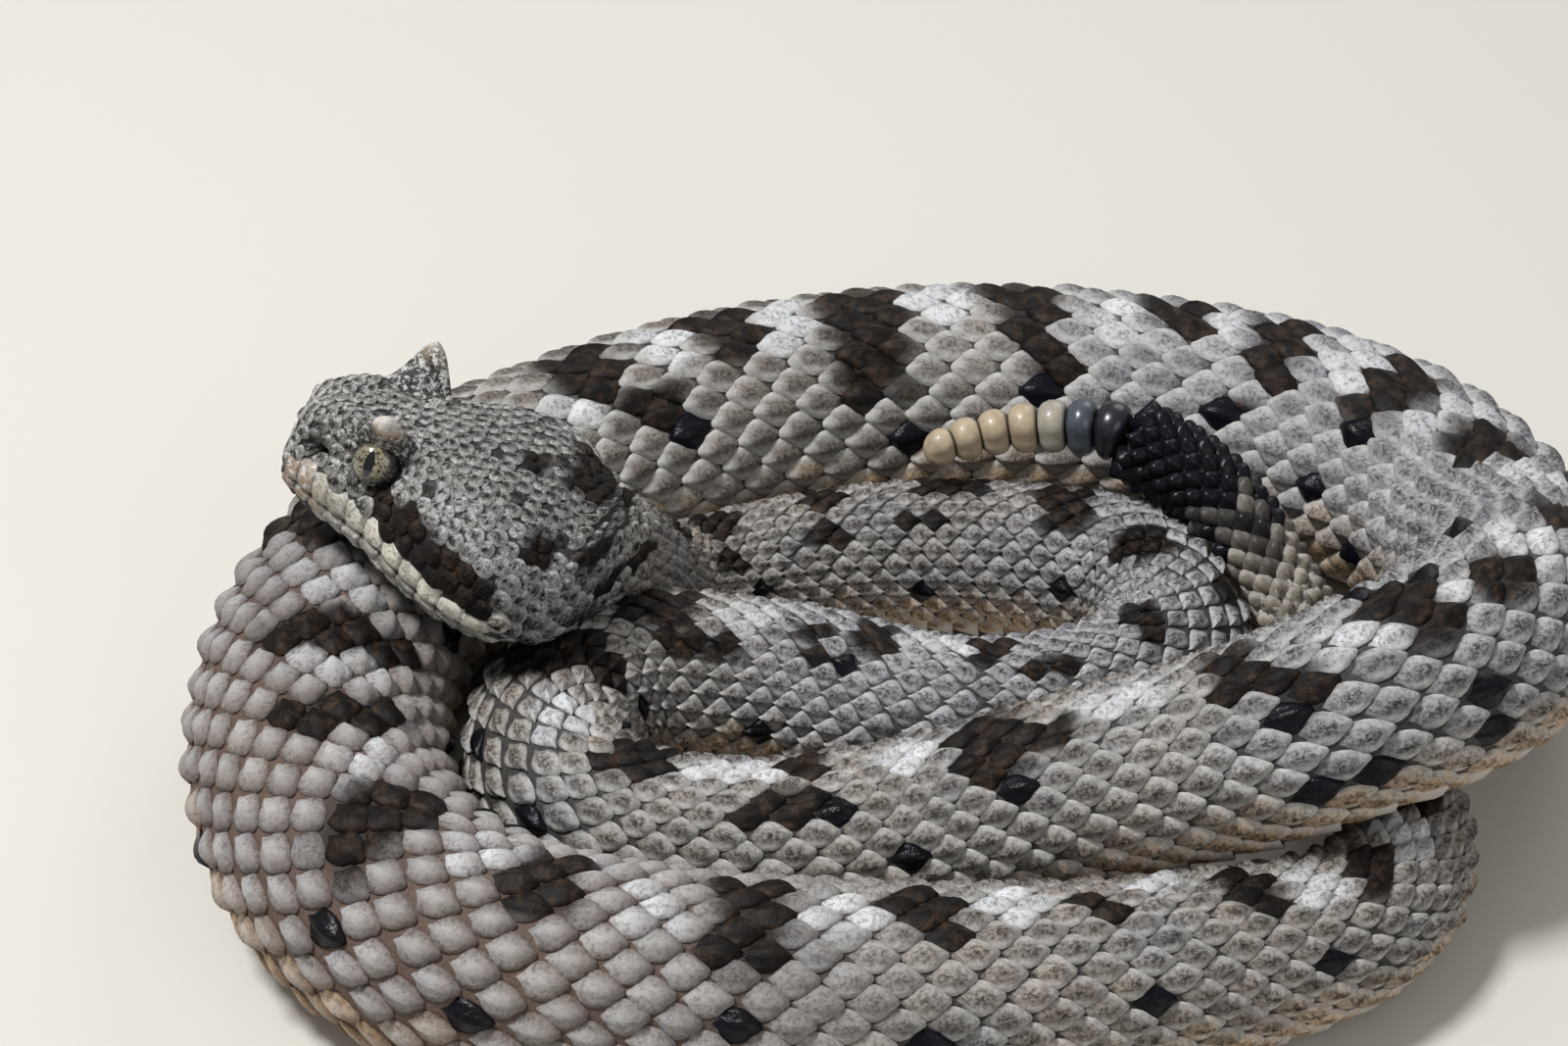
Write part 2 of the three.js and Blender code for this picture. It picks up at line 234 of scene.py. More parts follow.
def ringOfBody(s, angle):
    s = np.array([s], float)
    _, right, up = (direction[0] for direction in bodyFrame(s))
    coat = np.interp(s, *zip(*skinTable["coat"]))[0]
    halfWide = smoothColumn(coil["build"], 1, s)[0] / 2 - coat
    halfHigh = smoothColumn(coil["build"], 2, s)[0] / (1 + coil["belly"])
    floor = -halfHigh * coil["belly"] + min(coat, skinTable["bellyCoat"])
    rise = (halfHigh - coat) * np.cos(angle)
    # the belly flattens softly instead of with a corner
    soft = skinTable["bellySoft"]
    bend = floor * (1 - soft)
    rise = np.where(rise < bend, floor - floor * soft * np.exp((bend - rise) / (floor * soft)), rise)
    return pointOn(s) + right * (halfWide * np.sin(angle))[:, None] + up * rise[:, None]


def buildTable():
    angle = np.linspace(-math.pi, math.pi, skinTable["around"] + 1)
    stations, rings = [], []
    coat, blunt, cap = head["coat"], skinTable["blunt"], skinTable["snoutCap"]
    # blunt front of the snout, then the head back to the nape
    for f in skinTable["snoutRings"]:
        back = coat + blunt * (1 - math.sqrt(1 - f * f))
        rings.append(evenRing(coat + blunt, angle, coat) * [0, f, f] + [-back, 0, 0])
        stations.append(coat + blunt - head["length"] - cap * (1 - f))
    for back in np.arange(coat + blunt, head["length"], skinTable["headStep"]):
        rings.append(evenRing(back, angle, coat))
        stations.append(back - head["length"])
    skull = fromHead(shapeHead(np.array(rings)))
    rings = list(skull)
    # the nape: each line round the head runs on smoothly into the neck
    last, joins = stations[-1], head["joins"]
    neckRing = ringOfBody(joins, angle)
    backward = fromHead([-1, 0, 0]) - fromHead([0, 0, 0])
    onward = bodyFrame(np.array([joins]))[0][0]
    leaving, meeting = skinTable["napePull"]
    for u in np.linspace(0, 1, skinTable["napeRings"] + 2)[1:-1]:
        rings.append((2 * u**3 - 3 * u**2 + 1) * skull[-1] + (u**3 - 2 * u**2 + u) * backward * leaving
                     + (3 * u**2 - 2 * u**3) * neckRing + (u**3 - u**2) * onward * meeting)
        stations.append(last + (joins - last) * u)
    for s in np.arange(joins, coil["tailEnd"] - 0.3, skinTable["bodyStep"]):
        rings.append(ringOfBody(s, angle))
        stations.append(s)
    # rounded end under the rattle
    end, lastRing, cap = stations[-1], rings[-1], skinTable["tailCap"]
    tip = pointOn(np.array([end + cap]))[0]
    for f in skinTable["tailRings"]:
        rings.append(tip + (lastRing - tip) * f)
        stations.append(end + cap * (1 - f))
    return np.array(stations), angle, np.array(rings)


stationAt, ringAngle, skinPoints = buildTable()
alongStep = np.gradient(skinPoints, axis=0)
pastTheSeam = np.concatenate([skinPoints[:, -2:-1], skinPoints, skinPoints[:, 1:2]], 1)
aroundStep = np.gradient(pastTheSeam, axis=1)[:, 1:-1]
skinNormals = unit(np.cross(aroundStep, alongStep))
unitAlong, unitAround = unit(alongStep), unit(aroundStep)
alongSize = np.linalg.norm(alongStep, axis=-1) / np.maximum(np.gradient(stationAt)[:, None], 1e-6)
aroundSize = np.linalg.norm(aroundStep, axis=-1) / (ringAngle[1] - ringAngle[0])
print("body line and skin table", skinPoints.shape, "from", stationAt[0].round(2),
      "to", stationAt[-1].round(2))


def lookUp(table, s, angle):
    # value of a table at a place on the skin, between its four nearest entries
    i = np.clip(np.searchsorted(stationAt, s) - 1, 0, len(stationAt) - 2)
    fi = np.clip((s - stationAt[i]) / (stationAt[i + 1] - stationAt[i]), 0, 1)
    k = (np.asarray(angle) + math.pi) % (2 * math.pi) / (ringAngle[1] - ringAngle[0])
    j = np.minimum(k.astype(int), len(ringAngle) - 2)
    fj = k - j
    if table.ndim == 3:
        fi, fj = fi[..., None], fj[..., None]
    return ((table[i, j] * (1 - fi) + table[i + 1, j] * fi) * (1 - fj)
            + (table[i, j + 1] * (1 - fi) + table[i + 1, j + 1] * fi) * fj)


def sizeAt(table, s, angle):
    # millimetres for one unit along or around, at one place
    return float(lookUp(table, np.array([s]), np.array([angle]))[0])


def onSkin(s, angle, lift):
    # a place on the skin, lifted off it, in metres
    return (lookUp(skinPoints, s, angle) + lookUp(skinNormals, s, angle) * np.asarray(lift)[..., None]) * mm


def unwrapped(s, angle):
    # the flat layout of the skin: the head has the first quarter of the strip
    start, edge = stationAt[0], 0.002
    u = np.where(s < 0, 0.25 * (s - start) / -start, 0.25 + 0.74 * s / coil["tailEnd"])
    v = 0.01 + 0.98 * (angle + math.pi) / (2 * math.pi)
    return np.clip(u, edge, 1 - edge), np.clip(v, edge, 1 - edge)


# along the body in millimetres, then how far round from and to in degrees, then half length along
marks = {
    "saddles": [
        (14, -34, 32, 2.4), (22.8, -34, 20, 2.4), (22.5, 27, 50, 2.3), (32.5, -40, 6, 2.2),
        (32, 20, 38, 1.8), (42.5, -40, -2, 3), (41, 16, 33, 2.8), (52.3, -34, 27, 2.4),
        (60.5, -8, 38, 2.6), (66, -54, -22, 2.2), (73, -30, 22, 2.3), (82.5, -22, -2, 2.6),
        (86.5, -4, 38, 2), (96.2, -14, 30, 2), (98.7, -33, -15, 2.8), (101.3, -15, 6, 1.6),
        (110, -37, -15, 3.6), (113.5, -12, 34, 3), (121.5, -54, 8, 2.5), (124, -8, 42, 1.9),
        (137.5, -42, 14, 3.4), (150.5, 3, 31, 3.6), (152, -40, -4, 2), (167.3, -34, 34, 3),
        (171.5, -6, 15, 1.8), (186, -30, 20, 2.8), (189.5, -6, 46, 2.2), (198, -30, 30, 2.5),
        (205.5, -12, 28, 2.6), (215, -8, 38, 2.6), (232.5, -16, 30, 3.5), (243.5, -34, 34, 3.2),
        (254.5, -32, 34, 3.3), (256.3, -50, -36, 2.1), (263.2, -8, 36, 3), (276, -24, 38, 3.8),
        (273.5, -51, -18, 2.6), (290, -49, 40, 3.6), (301.3, -12, 38, 3), (314, -16, 34, 3.2),
        (310, -47, -20, 2.8), (328, -34, 34, 3.4), (341, -36, 62, 2.8), (354.5, -64, 30, 2.5),
        (363.8, -56, 15, 2.5), (376, -34, 36, 3.3), (390.3, -30, 16, 2.8), (404.5, -30, 40, 3),
        (417, -28, 18, 2.6), (429.3, -26, 12, 2.1), (441, -26, 24, 2.2), (451, -28, 28, 2.3),
        (461, -26, 26, 2.2), (470, -26, 26, 2), (479, -26, 26, 1.6),
    ],
    "bars": [                            # pale bars between the saddles
        (91.5, 2, 25, 3.4), (106.5, -12, 18, 2.4), (130, -32, 18, 2.8), (146, -31, -5, 4.4),
        (160.5, -24, 7, 3), (176.8, -20, 8, 3.4), (194.3, -12, 17, 2.6), (202.3, -6, 19, 1.8),
        (210, -16, 26, 2.3), (225, -10, 38, 2.6), (237.8, -18, 30, 2.2), (248.5, -24, 28, 2.5),
        (259.3, -6, 28, 1.8), (268.3, -16, 28, 2.4), (283.3, -12, 28, 2.8), (296.5, -15, 28, 2.6),
        (306.5, -12, 28, 2.4), (317.8, -34, 4, 1.9), (335, -24, 30, 2.4), (348, -30, 22, 2.4),
        (358.9, -34, 14, 2.3), (369.7, -34, 4, 2.3), (384.8, -26, 6, 2.8), (398.3, -14, 20, 2.6),
        (411, -20, 14, 2.6), (423.6, -32, 4, 2.8), (434.6, -40, -8, 2.5), (446, -24, 24, 2.2),
        (456, -24, 24, 2), (465.5, -22, 22, 1.9),
    ],
    "spots": [                           # black scales: along, round, half length, half width round
        (306.5, -43, 1.9, 7), (286.5, -72, 1.8, 7), (256.3, -43, 1.9, 5), (246.5, -75, 1.5, 6),
        (241, -36, 2, 7), (238, -90, 1.4, 5), (228, 37, 1.8, 7), (210.5, -31, 1.7, 7), (203, -21, 1.6, 6),
        (195.5, -33, 1.6, 7), (200, 56, 2, 6), (201, 82, 2, 6), (190.5, 85, 2, 6), (189.5, 37, 1.8, 6),
        (169.5, 33, 1.8, 5), (152.5, 27, 1.6, 5), (133.5, 56, 2, 8), (127.5, 63, 1.5, 6),
        (104, -88, 1.4, 6), (97.8, -28, 1.3, 4), (40, 79, 1.3, 8), (357, 80, 2, 6), (363.5, 90, 2, 6),
        (377.5, 62, 3, 9), (388, 70, 4, 6), (405, 64, 2.2, 7), (273, -47, 1.9, 5), (262, -70, 1.4, 5),
        (320, -68, 1.8, 6), (333, -66, 1.9, 6), (345, 74, 1.9, 6), (26, 70, 1.2, 8), (54, 74, 1.2, 7),
        (86, -80, 1.3, 6), (118, -74, 1.4, 6), (146, 66, 1.6, 6), (160, 62, 1.6, 6), (418, 66, 1.9, 6),
        (431, 62, 1.8, 6), (444, 64, 1.5, 7),
    ],
}
# how strong a tint or effect is, then where it sets in, is full, begins to fade and ends along the body
stretches = {
    # a pale cool tint; on the inner loops and in the near bend it also brightens the scales as painted
    # light
    "coolAndLit": [(1.3, 42, 58, 96, 112), (1, 170, 200, 262, 285), (0.5, 330, 350, 392, 425)],
    # painted shade darkening a stretch of the back loop
    "paintedShade": [(1, 278, 296, 328, 342)],
    "warm": [(1, 326, 352, 392, 425)],
    "plainHearts": [(0.55, 225, 245, 318, 345)],
    "spread": [(1, 338, 358, 388, 418)],
}
faceMarks = {
    "stripe": [                          # along, upper and lower edge in degrees
        (-15.5, 46, 56), (-14, 45, 64), (-12, 44, 73), (-10, 48, 79), (-8, 51, 81), (-6, 54, 82.5),
        (-4, 58, 82.5), (-2.2, 68, 78),
    ],
    "stripeEnds": (-15.8, -14.8, -3.4, -2.2),
    "blots": [                           # as the saddles
        (-0.8, -36, 3, 2.9), (-1.6, 27, 42, 1.3), (1.9, 26, 46, 1.2), (-5.2, -6, 7, 1.0),
        (4.6, 58, 78, 1.8), (-1.2, -62, -44, 1.6), (2.4, -70, -50, 1.4), (-7.6, -42, -33, 0.8),
        (5.2, -10, 14, 1.6),
    ],
    # painted shade in the hollows of the face
    "shadedHollows": [                         # how dark, along and half length, degrees round and half width
        (0.25, -15.8, 1.6, 55, 5),       # under the eye
        (1, -20.5, 0.7, 42, 12),         # pit
        (1, -21.6, 0.26, 21, 4),         # nostril
    ],
}


def smoothStep(low, high, value):
    t = np.clip((value - low) / (high - low), 0, 1)
    return t * t * (3 - 2 * t)


def fade(low, high, value):
    return 1 - smoothStep(low, high, value)


def bell(value, half):
    return np.exp(-(value / half) ** 2)


def stretch(name, s):
    # how far a place lies inside the named stretches
    return sum(most * smoothStep(a, b, s) * fade(c, d, s) for most, a, b, c, d in stretches[name])


def wander(s, angle, seed, size):
    # slow, even waves that roughen the edges of the markings
    return (np.sin(s / size + seed) * np.cos(angle * 3.1 + seed * 1.7 + s / size * 0.6)
            + np.sin(s / size * 1.9 + angle * 5.0 + seed * 3.1) * 0.6) / 1.6


def patches(entries, s, degrees, rough, squareness=3.0):
    # soft-cornered patches on the unrolled skin
    mask = np.zeros(s.shape)
    for middle, low, high, half in entries:
        along = np.abs(s - middle) / half
        around = np.abs(degrees - (low + high) / 2) / ((high - low) / 2)
        distance = (along**squareness + around**squareness) ** (1 / squareness)
        mask = np.maximum(mask, fade(0.84, 1.1, distance + rough))
    return mask


def markingMasks(s, angle, grain):
    # every marking, 0 to 1, at places on the skin; grain shifts the edges scale by scale
    degrees = np.degrees((angle + math.pi) % (2 * math.pi) - math.pi)
    sideways = np.abs(degrees)
    rough = 0.16 * (wander(s, angle, 2.0, 1.9) + grain)
    dark = patches(marks["saddles"], s, degrees, rough) * smoothStep(5, 9, s)
    pale = patches(marks["bars"], s, degrees, rough, 2.4) * smoothStep(6, 12, s)
    # the head: dark stripe from the eye to the jaw, dark nape, pale lips
    local = intoHead(lookUp(skinPoints, s, angle))
    back, up = -local[..., 0], local[..., 2]
    onHead = fade(-2, 7, s)
    mottle = 0.2 * wander(s, angle, 5.0, 0.8) + 0.16 * grain
    at, upper, lower = zip(*faceMarks["stripe"])
    upper, lower = np.interp(s, at, upper), np.interp(s, at, lower)
    fromMiddle = np.abs(sideways - (upper + lower) / 2) / ((lower - upper) / 2)
    starts, full, fades, ends = faceMarks["stripeEnds"]
    stripe = fade(0.82, 1.12, fromMiddle + mottle) * smoothStep(starts, full, s) * fade(fades, ends, s)
    dark = np.maximum(dark, np.maximum(stripe, patches(faceMarks["blots"], s, degrees, mottle)))
    # painted shade in the pit, the nostril and under the eye
    for depth, middle, half, turned, halfTurned in faceMarks["shadedHollows"]:
        dark = np.maximum(dark, depth * bell(s - middle, half) * bell(sideways - turned, halfTurned))
    return {
        "dark": dark, "pale": pale * (1 - dark), "spot": np.zeros(s.shape),
        "flank": smoothStep(72, 110, sideways + grain * 8) * (1 - onHead) * smoothStep(12, 45, s),
        "lips": fade(1.7, 2.3, np.abs(up)) * (s < -1.6) * smoothStep(2.2, 5.5, back) * (1 - stripe),
        "onHead": onHead, "snout": onHead * fade(8.5, 12, back),
        "temple": (onHead * smoothStep(-14, -11, s) * smoothStep(24, 36, sideways)
                   * fade(62, 74, sideways) * (1 - dark)),
        "blackTail": smoothStep(491, 497, s + grain * 3), "tailGrey": smoothStep(462, 478, s),
        "warm": stretch("warm", s) * (1 - 0.9 * dark),
        "coolAndLit": stretch("coolAndLit", s), "paintedShade": stretch("paintedShade", s),
    }


twins = {"below": 50, "shift": 2.2}      # low spots have one on the other side, a little further on


def spotsOn(s, angle, pitch, rowStep):
    # 1 for the scales that are black all over
    degrees = np.degrees(angle)
    black = np.zeros(np.shape(s))
    for middle, turned, half, halfTurned in marks["spots"]:
        sides = ((0, 1), (twins["shift"], -1)) if abs(turned) > twins["below"] else ((0, 1),)
        for shift, sign in sides:
            near = np.abs(s - middle - shift) < np.maximum(0.5 * pitch, 0.8 * half)
            near &= np.abs(degrees - sign * turned) < np.maximum(0.5 * rowStep, 0.7 * halfTurned)
            black[near] = 1
    return black


def meshFrom(bm, name):
    mesh = bpy.data.meshes.new(name)
    bm.to_mesh(mesh)
    bm.free()
    return mesh


def moveCorners(mesh, places):
    mesh.vertices.foreach_set("co", places.ravel())
    mesh.update()


def storeMasks(mesh, masks):
    for name, values in masks.items():
        layer = mesh.attributes.new(name, "FLOAT", "POINT")
        layer.data.foreach_set("value", np.ascontiguousarray(values, np.float32).ravel())


def storeLayout(mesh, u, v):
    # one flat layout per piece
    layer = mesh.uv_layers.new(name="OFBake")
    corner = np.empty(len(mesh.loops), np.int32)
    mesh.loops.foreach_get("vertex_index", corner)
    layer.data.foreach_set("uv", np.stack([u.ravel(), v.ravel()], 1)[corner].astype(np.float32).ravel())


def finished(mesh, name, material):
    piece = bpy.data.objects.new(name, mesh)
    bpy.context.scene.collection.objects.link(piece)
    mesh.materials.append(material)
    mesh.polygons.foreach_set("use_smooth", [True] * len(mesh.polygons))
    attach(piece, "root")
    return piece


# noises: scale, detail, roughness, and the values that turn into 0 and 1
noises = {
    "broad": (110, 3, 0.6, 0.35, 0.65), "mottle": (1300, 3, 0.65, 0.5, 0.66),
    "frost": (1750, 3, 0.6, 0.53, 0.6), "brown": (850, 3, 0.6, 0.47, 0.68),
    "dust": (3300, 2, 0.7, 0.53, 0.64), "stain": (700, 4, 0.65, 0.4, 0.75),
    "iris": (3200, 3, 0.75, 0.42, 0.6), "irisDust": (3600, 2, 0.7, 0.52, 0.6),
}


class Wiring:
    # short calls that add nodes to a material or a group
    def __init__(self, tree):
        self.nodes, self.links, self.place = tree.nodes, tree.links, None

    def fill(self, node, inputs):
        # sets each input to a value or links it to an output
        for key, value in inputs.items():
            if isinstance(value, bpy.types.NodeSocket):
                self.links.new(value, node.inputs[key])
            else:
                node.inputs[key].default_value = value

    def add(self, kind, inputs, out=0, **settings):
        node = self.nodes.new("ShaderNode" + kind)
        for key, value in settings.items():
            setattr(node, key, value)
        self.fill(node, inputs)
        return node.outputs[out]

    def mix(self, factor, first, second, mode="MIX"):
        return self.add("Mix", {0: factor, 6: first, 7: second}, 2, data_type="RGBA", blend_type=mode)

    def maths(self, operation, *values):
        return self.add("Math", dict(enumerate(values)), operation=operation)

    def times(self, first, second):
        return self.maths("MULTIPLY", first, second)

    def mask(self, name):
        return self.add("Attribute", {}, "Fac", attribute_name=name)

    def ramp(self, value, low, high):
        # 0 at low, 1 at high
        return self.add("MapRange", {"Value": value, "From Min": low, "From Max": high})

    def noise(self, scale, detail, rough):
        if self.place is None:
            self.place = self.add("TexCoord", {}, "Object")
        return self.add("TexNoise", {"Scale": scale, "Detail": detail, "Roughness": rough,
                                     "Vector": self.place})

    def cloud(self, name):
        scale, detail, rough, low, high = noises[name]
        return self.ramp(self.noise(scale, detail, rough), low, high)

    def relief(self, height, strength, depth):
        return self.add("Bump", {"Strength": strength, "Distance": depth, "Height": height}, "Normal")


def newMaterial(name):
    material = bpy.data.materials.new(name)
    material.use_nodes = True
    return material, Wiring(material.node_tree), material.node_tree.nodes["Principled BSDF"]


def colour(red, green, blue):
    # a colour as it looks on a screen, 0 to 255, turned into light
    parts = [part / 255 for part in (red, green, blue)]
    return (*[part / 12.92 if part <= 0.04045 else ((part + 0.055) / 1.055) ** 2.4 for part in parts], 1)


palette = {name: colour(*paint) for name, paint in {
    # pale cool grey, partly a tint and partly painted light on the inner loops and the near bend
    "ground": (153, 144, 133), "groundGrey": (136, 134, 134), "coolAndLit": (164, 167, 175),
    # colour of the painted shade on part of the back loop
    "paintedShade": (112, 104, 97), "dark": (20, 15, 12), "darkBrown": (64, 49, 37), "pale": (198, 200, 203),
    "cream": (202, 172, 136), "spot": (12, 14, 22), "lip": (212, 207, 190), "crown": (69, 68, 66),
    "temple": (142, 144, 144), "black": (20, 21, 27), "tailGrey": (150, 142, 130),
    "borderAndHighlight": (202, 201, 198), "fleck": (26, 23, 21), "paleFleck": (206, 206, 203),
    # gapShade: near black, painted shade deep in the gaps between the scales and in the joins of the rattle
    "warmSkin": (80, 58, 44), "gapShade": (22, 19, 18),
}.items()}


def markingGroup():
    # the animal's own markings, from the masks stored on the skin and on every scale
    group = bpy.data.node_groups.new("sandMarkings", "ShaderNodeTree")
    for name, usual in (("Dark Flecks", 0.5), ("Pale Flecks", 0.3), ("Mottle", 0.3)):
        socket = group.interface.new_socket(name=name, in_out="INPUT", socket_type="NodeSocketFloat")
        socket.default_value = usual
    for name, kind in (("Color", "NodeSocketColor"), ("Grain", "NodeSocketFloat")):
        group.interface.new_socket(name=name, in_out="OUTPUT", socket_type=kind)
    tree = Wiring(group)
    look = tree.nodes.new("NodeGroupInput").outputs
    base = tree.mix(tree.cloud("broad"), palette["ground"], palette["groundGrey"])
    # over stretches of the body: a pale cool tint that is also painted light on the inner loops and the
    # near bend, then painted shade on part of the back loop
    for name, most in (("coolAndLit", 0.6), ("paintedShade", 0.75)):
        base = tree.mix(tree.times(tree.mask(name), most), base, palette[name])
    for name, paint in (("onHead", "crown"), ("temple", "temple"), ("flank", "cream"),
                        ("tailGrey", "tailGrey"), ("pale", "pale"), ("lips", "lip")):
        base = tree.mix(tree.mask(name), base, palette[paint])
    # cloudy dark mottling, and on the snout pale mottling as well
    base = tree.mix(tree.times(tree.cloud("mottle"), look["Mottle"]), base, palette["fleck"])
    frost = tree.times(tree.cloud("frost"), tree.times(tree.mask("snout"), 0.8))
    base = tree.mix(frost, base, palette["paleFleck"])
    darkTone = tree.mix(tree.cloud("brown"), palette["dark"], palette["darkBrown"])
    base = tree.mix(tree.mask("dark"), base, darkTone)
    grain = tree.noise(2700, 2, 0.75)
    base = tree.mix(tree.times(tree.ramp(grain, 0.51, 0.62), look["Dark Flecks"]), base, palette["fleck"])
    fair = tree.maths("SUBTRACT", 1, tree.mask("dark"))
    paleFlecks = tree.times(tree.times(tree.cloud("dust"), fair), look["Pale Flecks"])
    base = tree.mix(paleFlecks, base, palette["paleFleck"])
    base = tree.mix(tree.mask("blackTail"), base, palette["black"])
    base = tree.mix(tree.mask("spot"), base, palette["spot"])
    tree.fill(tree.nodes.new("NodeGroupOutput"), {"Color": base, "Grain": grain})
    return group


sandMarkings = markingGroup()
heartShade = (0.14, 0.115, 0.095, 1)     # what the dark middle of a scale is multiplied by


def markingsIn(tree, look):
    # the shared markings, set for one finish
    node = tree.nodes.new("ShaderNodeGroup")
    node.node_tree = sandMarkings
    tree.fill(node, {key: look[key] for key in ("Dark Flecks", "Pale Flecks", "Mottle")})
    return node.outputs["Color"], node.outputs["Grain"]


# gap colour: painted shade in the gaps, and warm brown skin where the near bend spreads the scales
def skinAndGapShade(tree):
    return tree.mix(tree.mask("warm"), palette["gapShade"], palette["warmSkin"])


def scaleMaterial(name, look):
    material, tree, shader = newMaterial(name)
    paint, grain = markingsIn(tree, look)
    toned = tree.mix(1.0, paint, tree.maths("MULTIPLY_ADD", tree.mask("tone"), 0.5, 0.75), "MULTIPLY")
    # pale border of each scale, and in the near bend a painted highlight on its crest
    toned = tree.mix(tree.times(tree.mask("borderAndHighlight"), look["borderAndHighlight"]), toned, palette["borderAndHighlight"])
    speckle = tree.maths("MULTIPLY_ADD", tree.ramp(grain, 0.4, 0.55), 0.7, 0.3)
    heart = tree.times(tree.times(tree.mask("heart"), look["heart"]), speckle)
    toned = tree.mix(heart, toned, heartShade, "MULTIPLY")
    gloss = tree.maths("MAXIMUM", tree.mask("spot"), tree.mask("blackTail"))
    # painted shade: the under mask turns the roots, sides and undersides of the scales to the gap colour
    tree.fill(shader, {
        "Base Color": tree.mix(tree.mask("under"), toned, skinAndGapShade(tree)),
        "Normal": tree.relief(grain, look["relief"], look.get("depth", 0.00012)),
        "Roughness": tree.add("MapRange", {"Value": gloss, "To Min": look["rough"], "To Max": 0.3}),
        "Specular IOR Level": 0.18,
    })
    return material


def skinMaterial():
    material, tree, shader = newMaterial("skinBetweenScales")
    paint, grain = markingsIn(tree, {"Dark Flecks": 0.6, "Pale Flecks": 0.3, "Mottle": 0.4})
    # the skin between the scales is painted mostly in the gap colour, as painted shade, and warm brown in
    # the near bend
    tree.fill(shader, {"Base Color": tree.mix(0.9, paint, skinAndGapShade(tree)),
                       "Normal": tree.relief(grain, 0.8, 0.0002), "Roughness": 0.75})
    return material


skinFinish = skinMaterial()
# border pales the edge of a scale, and in the near bend it paints a highlight on the scale's crest
looks = {                                # heart darkens the middle of a scale, border pales its edge
    "keeledScales": {"Dark Flecks": 0.5, "Pale Flecks": 0.2, "Mottle": 0.4, "heart": 1.0, "borderAndHighlight": 0.75,
                     "relief": 0.7, "rough": 0.6},
    "headScales": {"Dark Flecks": 1.0, "Pale Flecks": 0.6, "Mottle": 0.9, "heart": 1.3, "borderAndHighlight": 0.9,
                   "relief": 1.0, "depth": 0.00025, "rough": 0.62},
    "lipScales": {"Dark Flecks": 0.55, "Pale Flecks": 0.2, "Mottle": 0.4, "heart": 0.0, "borderAndHighlight": 0.3,
                  "relief": 0.5, "rough": 0.5},
    "hornScale": {"Dark Flecks": 0.8, "Pale Flecks": 0.7, "Mottle": 0.55, "heart": 0.0, "borderAndHighlight": 1.0,
                  "relief": 1.0, "rough": 0.66},
    "tailScales": {"Dark Flecks": 0.3, "Pale Flecks": 0.1, "Mottle": 0.2, "heart": 0.2, "borderAndHighlight": 0.3,
                   "relief": 0.3, "rough": 0.55},
}
finish = {name: scaleMaterial(name, look) for name, look in looks.items()}


def makeSkin():
    # one sheet wrapped on every second ring of the table, on every ring of the head, closed along the belly
    count = len(stationAt)
    keep = np.array([k for k in range(count)
                     if stationAt[k] < head["joins"] or k % 2 == 0 or k > count - 4])
    rows, columns = len(keep), len(ringAngle)
    bm = bmesh.new()
    bmesh.ops.create_grid(bm, x_segments=rows - 1, y_segments=columns - 1, size=0.5)
    mesh = meshFrom(bm, "skin")
    flat = np.array([v.co[:2] for v in mesh.vertices]) + 0.5
    row, column = np.rint(flat * (rows - 1, columns - 1)).astype(int).T
    moveCorners(mesh, skinPoints[keep[row], column] * mm)
    s, angle = stationAt[keep][row], ringAngle[column]
    storeMasks(mesh, markingMasks(s, angle, np.zeros(len(s))))
    storeLayout(mesh, *unwrapped(s, angle))
    bm = bmesh.new()
    bm.from_mesh(mesh)
    bmesh.ops.remove_doubles(bm, verts=bm.verts, dist=1e-7)
    bmesh.ops.recalc_face_normals(bm, faces=bm.faces)
    bm.to_mesh(mesh)
    bm.free()
    return finished(mesh, "skin", skinFinish)


skin = makeSkin()
fleshNodes = ["head", "lower_jaw", "neck", "tail"] + ["trunk_%d" % k for k in range(1, 12)]
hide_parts(*fleshNodes)
print("skin", len(skin.data.polygons), "faces")


def plateTemplate(name, cells, outline, height, thick=0.5):
    # a small sheet cut to the scale's outline and domed, then given its thickness
    bm = bmesh.new()
    bmesh.ops.create_grid(bm, x_segments=cells[0], y_segments=cells[1], size=0.5)
    for vert in bm.verts:
        u, v = vert.co.x + 0.5, vert.co.y * 2
        vert.co = (*outline(u, v), height(u, v))
    tops = len(bm.verts)                 # the corners of the upper side come first
    low = bmesh.ops.extrude_face_region(bm, geom=bm.faces[:])["geom"]
    lowVerts = [g for g in low if isinstance(g, bmesh.types.BMVert)]
    bmesh.ops.translate(bm, verts=lowVerts, vec=(0, 0, -thick))
    bmesh.ops.dissolve_faces(bm, faces=[g for g in low if isinstance(g, bmesh.types.BMFace)])
    bmesh.ops.recalc_face_normals(bm, faces=bm.faces)
    return {"mesh": meshFrom(bm, name), "tops": tops}


# outlines and heights over one cell: u runs 0 to 1 from root to tip, v runs -1 to 1 across
def rootWidth(u, widest):
    return 0.5 + 0.5 * math.sin(min(u / widest, 1) * math.pi / 2)


def lobeOutline(u, v):
    # narrow at the root, widest past the middle, round at the tip
    width = rootWidth(u, 0.55) if u < 0.55 else math.sqrt(max(1 - ((u - 0.55) / 0.50) ** 2, 0.03))
    return u - 0.12 * v * v * u, 0.5 * width * v


def leafOutline(u, v):
    # as above, drawn out to a blunt point
    width = rootWidth(u, 0.5) if u < 0.5 else max(1 - ((u - 0.5) / 0.52) ** 1.7, 0.04)
    return u - 0.10 * v * v * u, 0.5 * width * v


def roundOutline(u, v, corner=0.42):
    # a square cell with its corners drawn in
    x = 2 * u - 1
    return 0.5 + 0.5 * x * math.sqrt(1 - corner * v * v), 0.5 * v * math.sqrt(1 - corner * x * x)


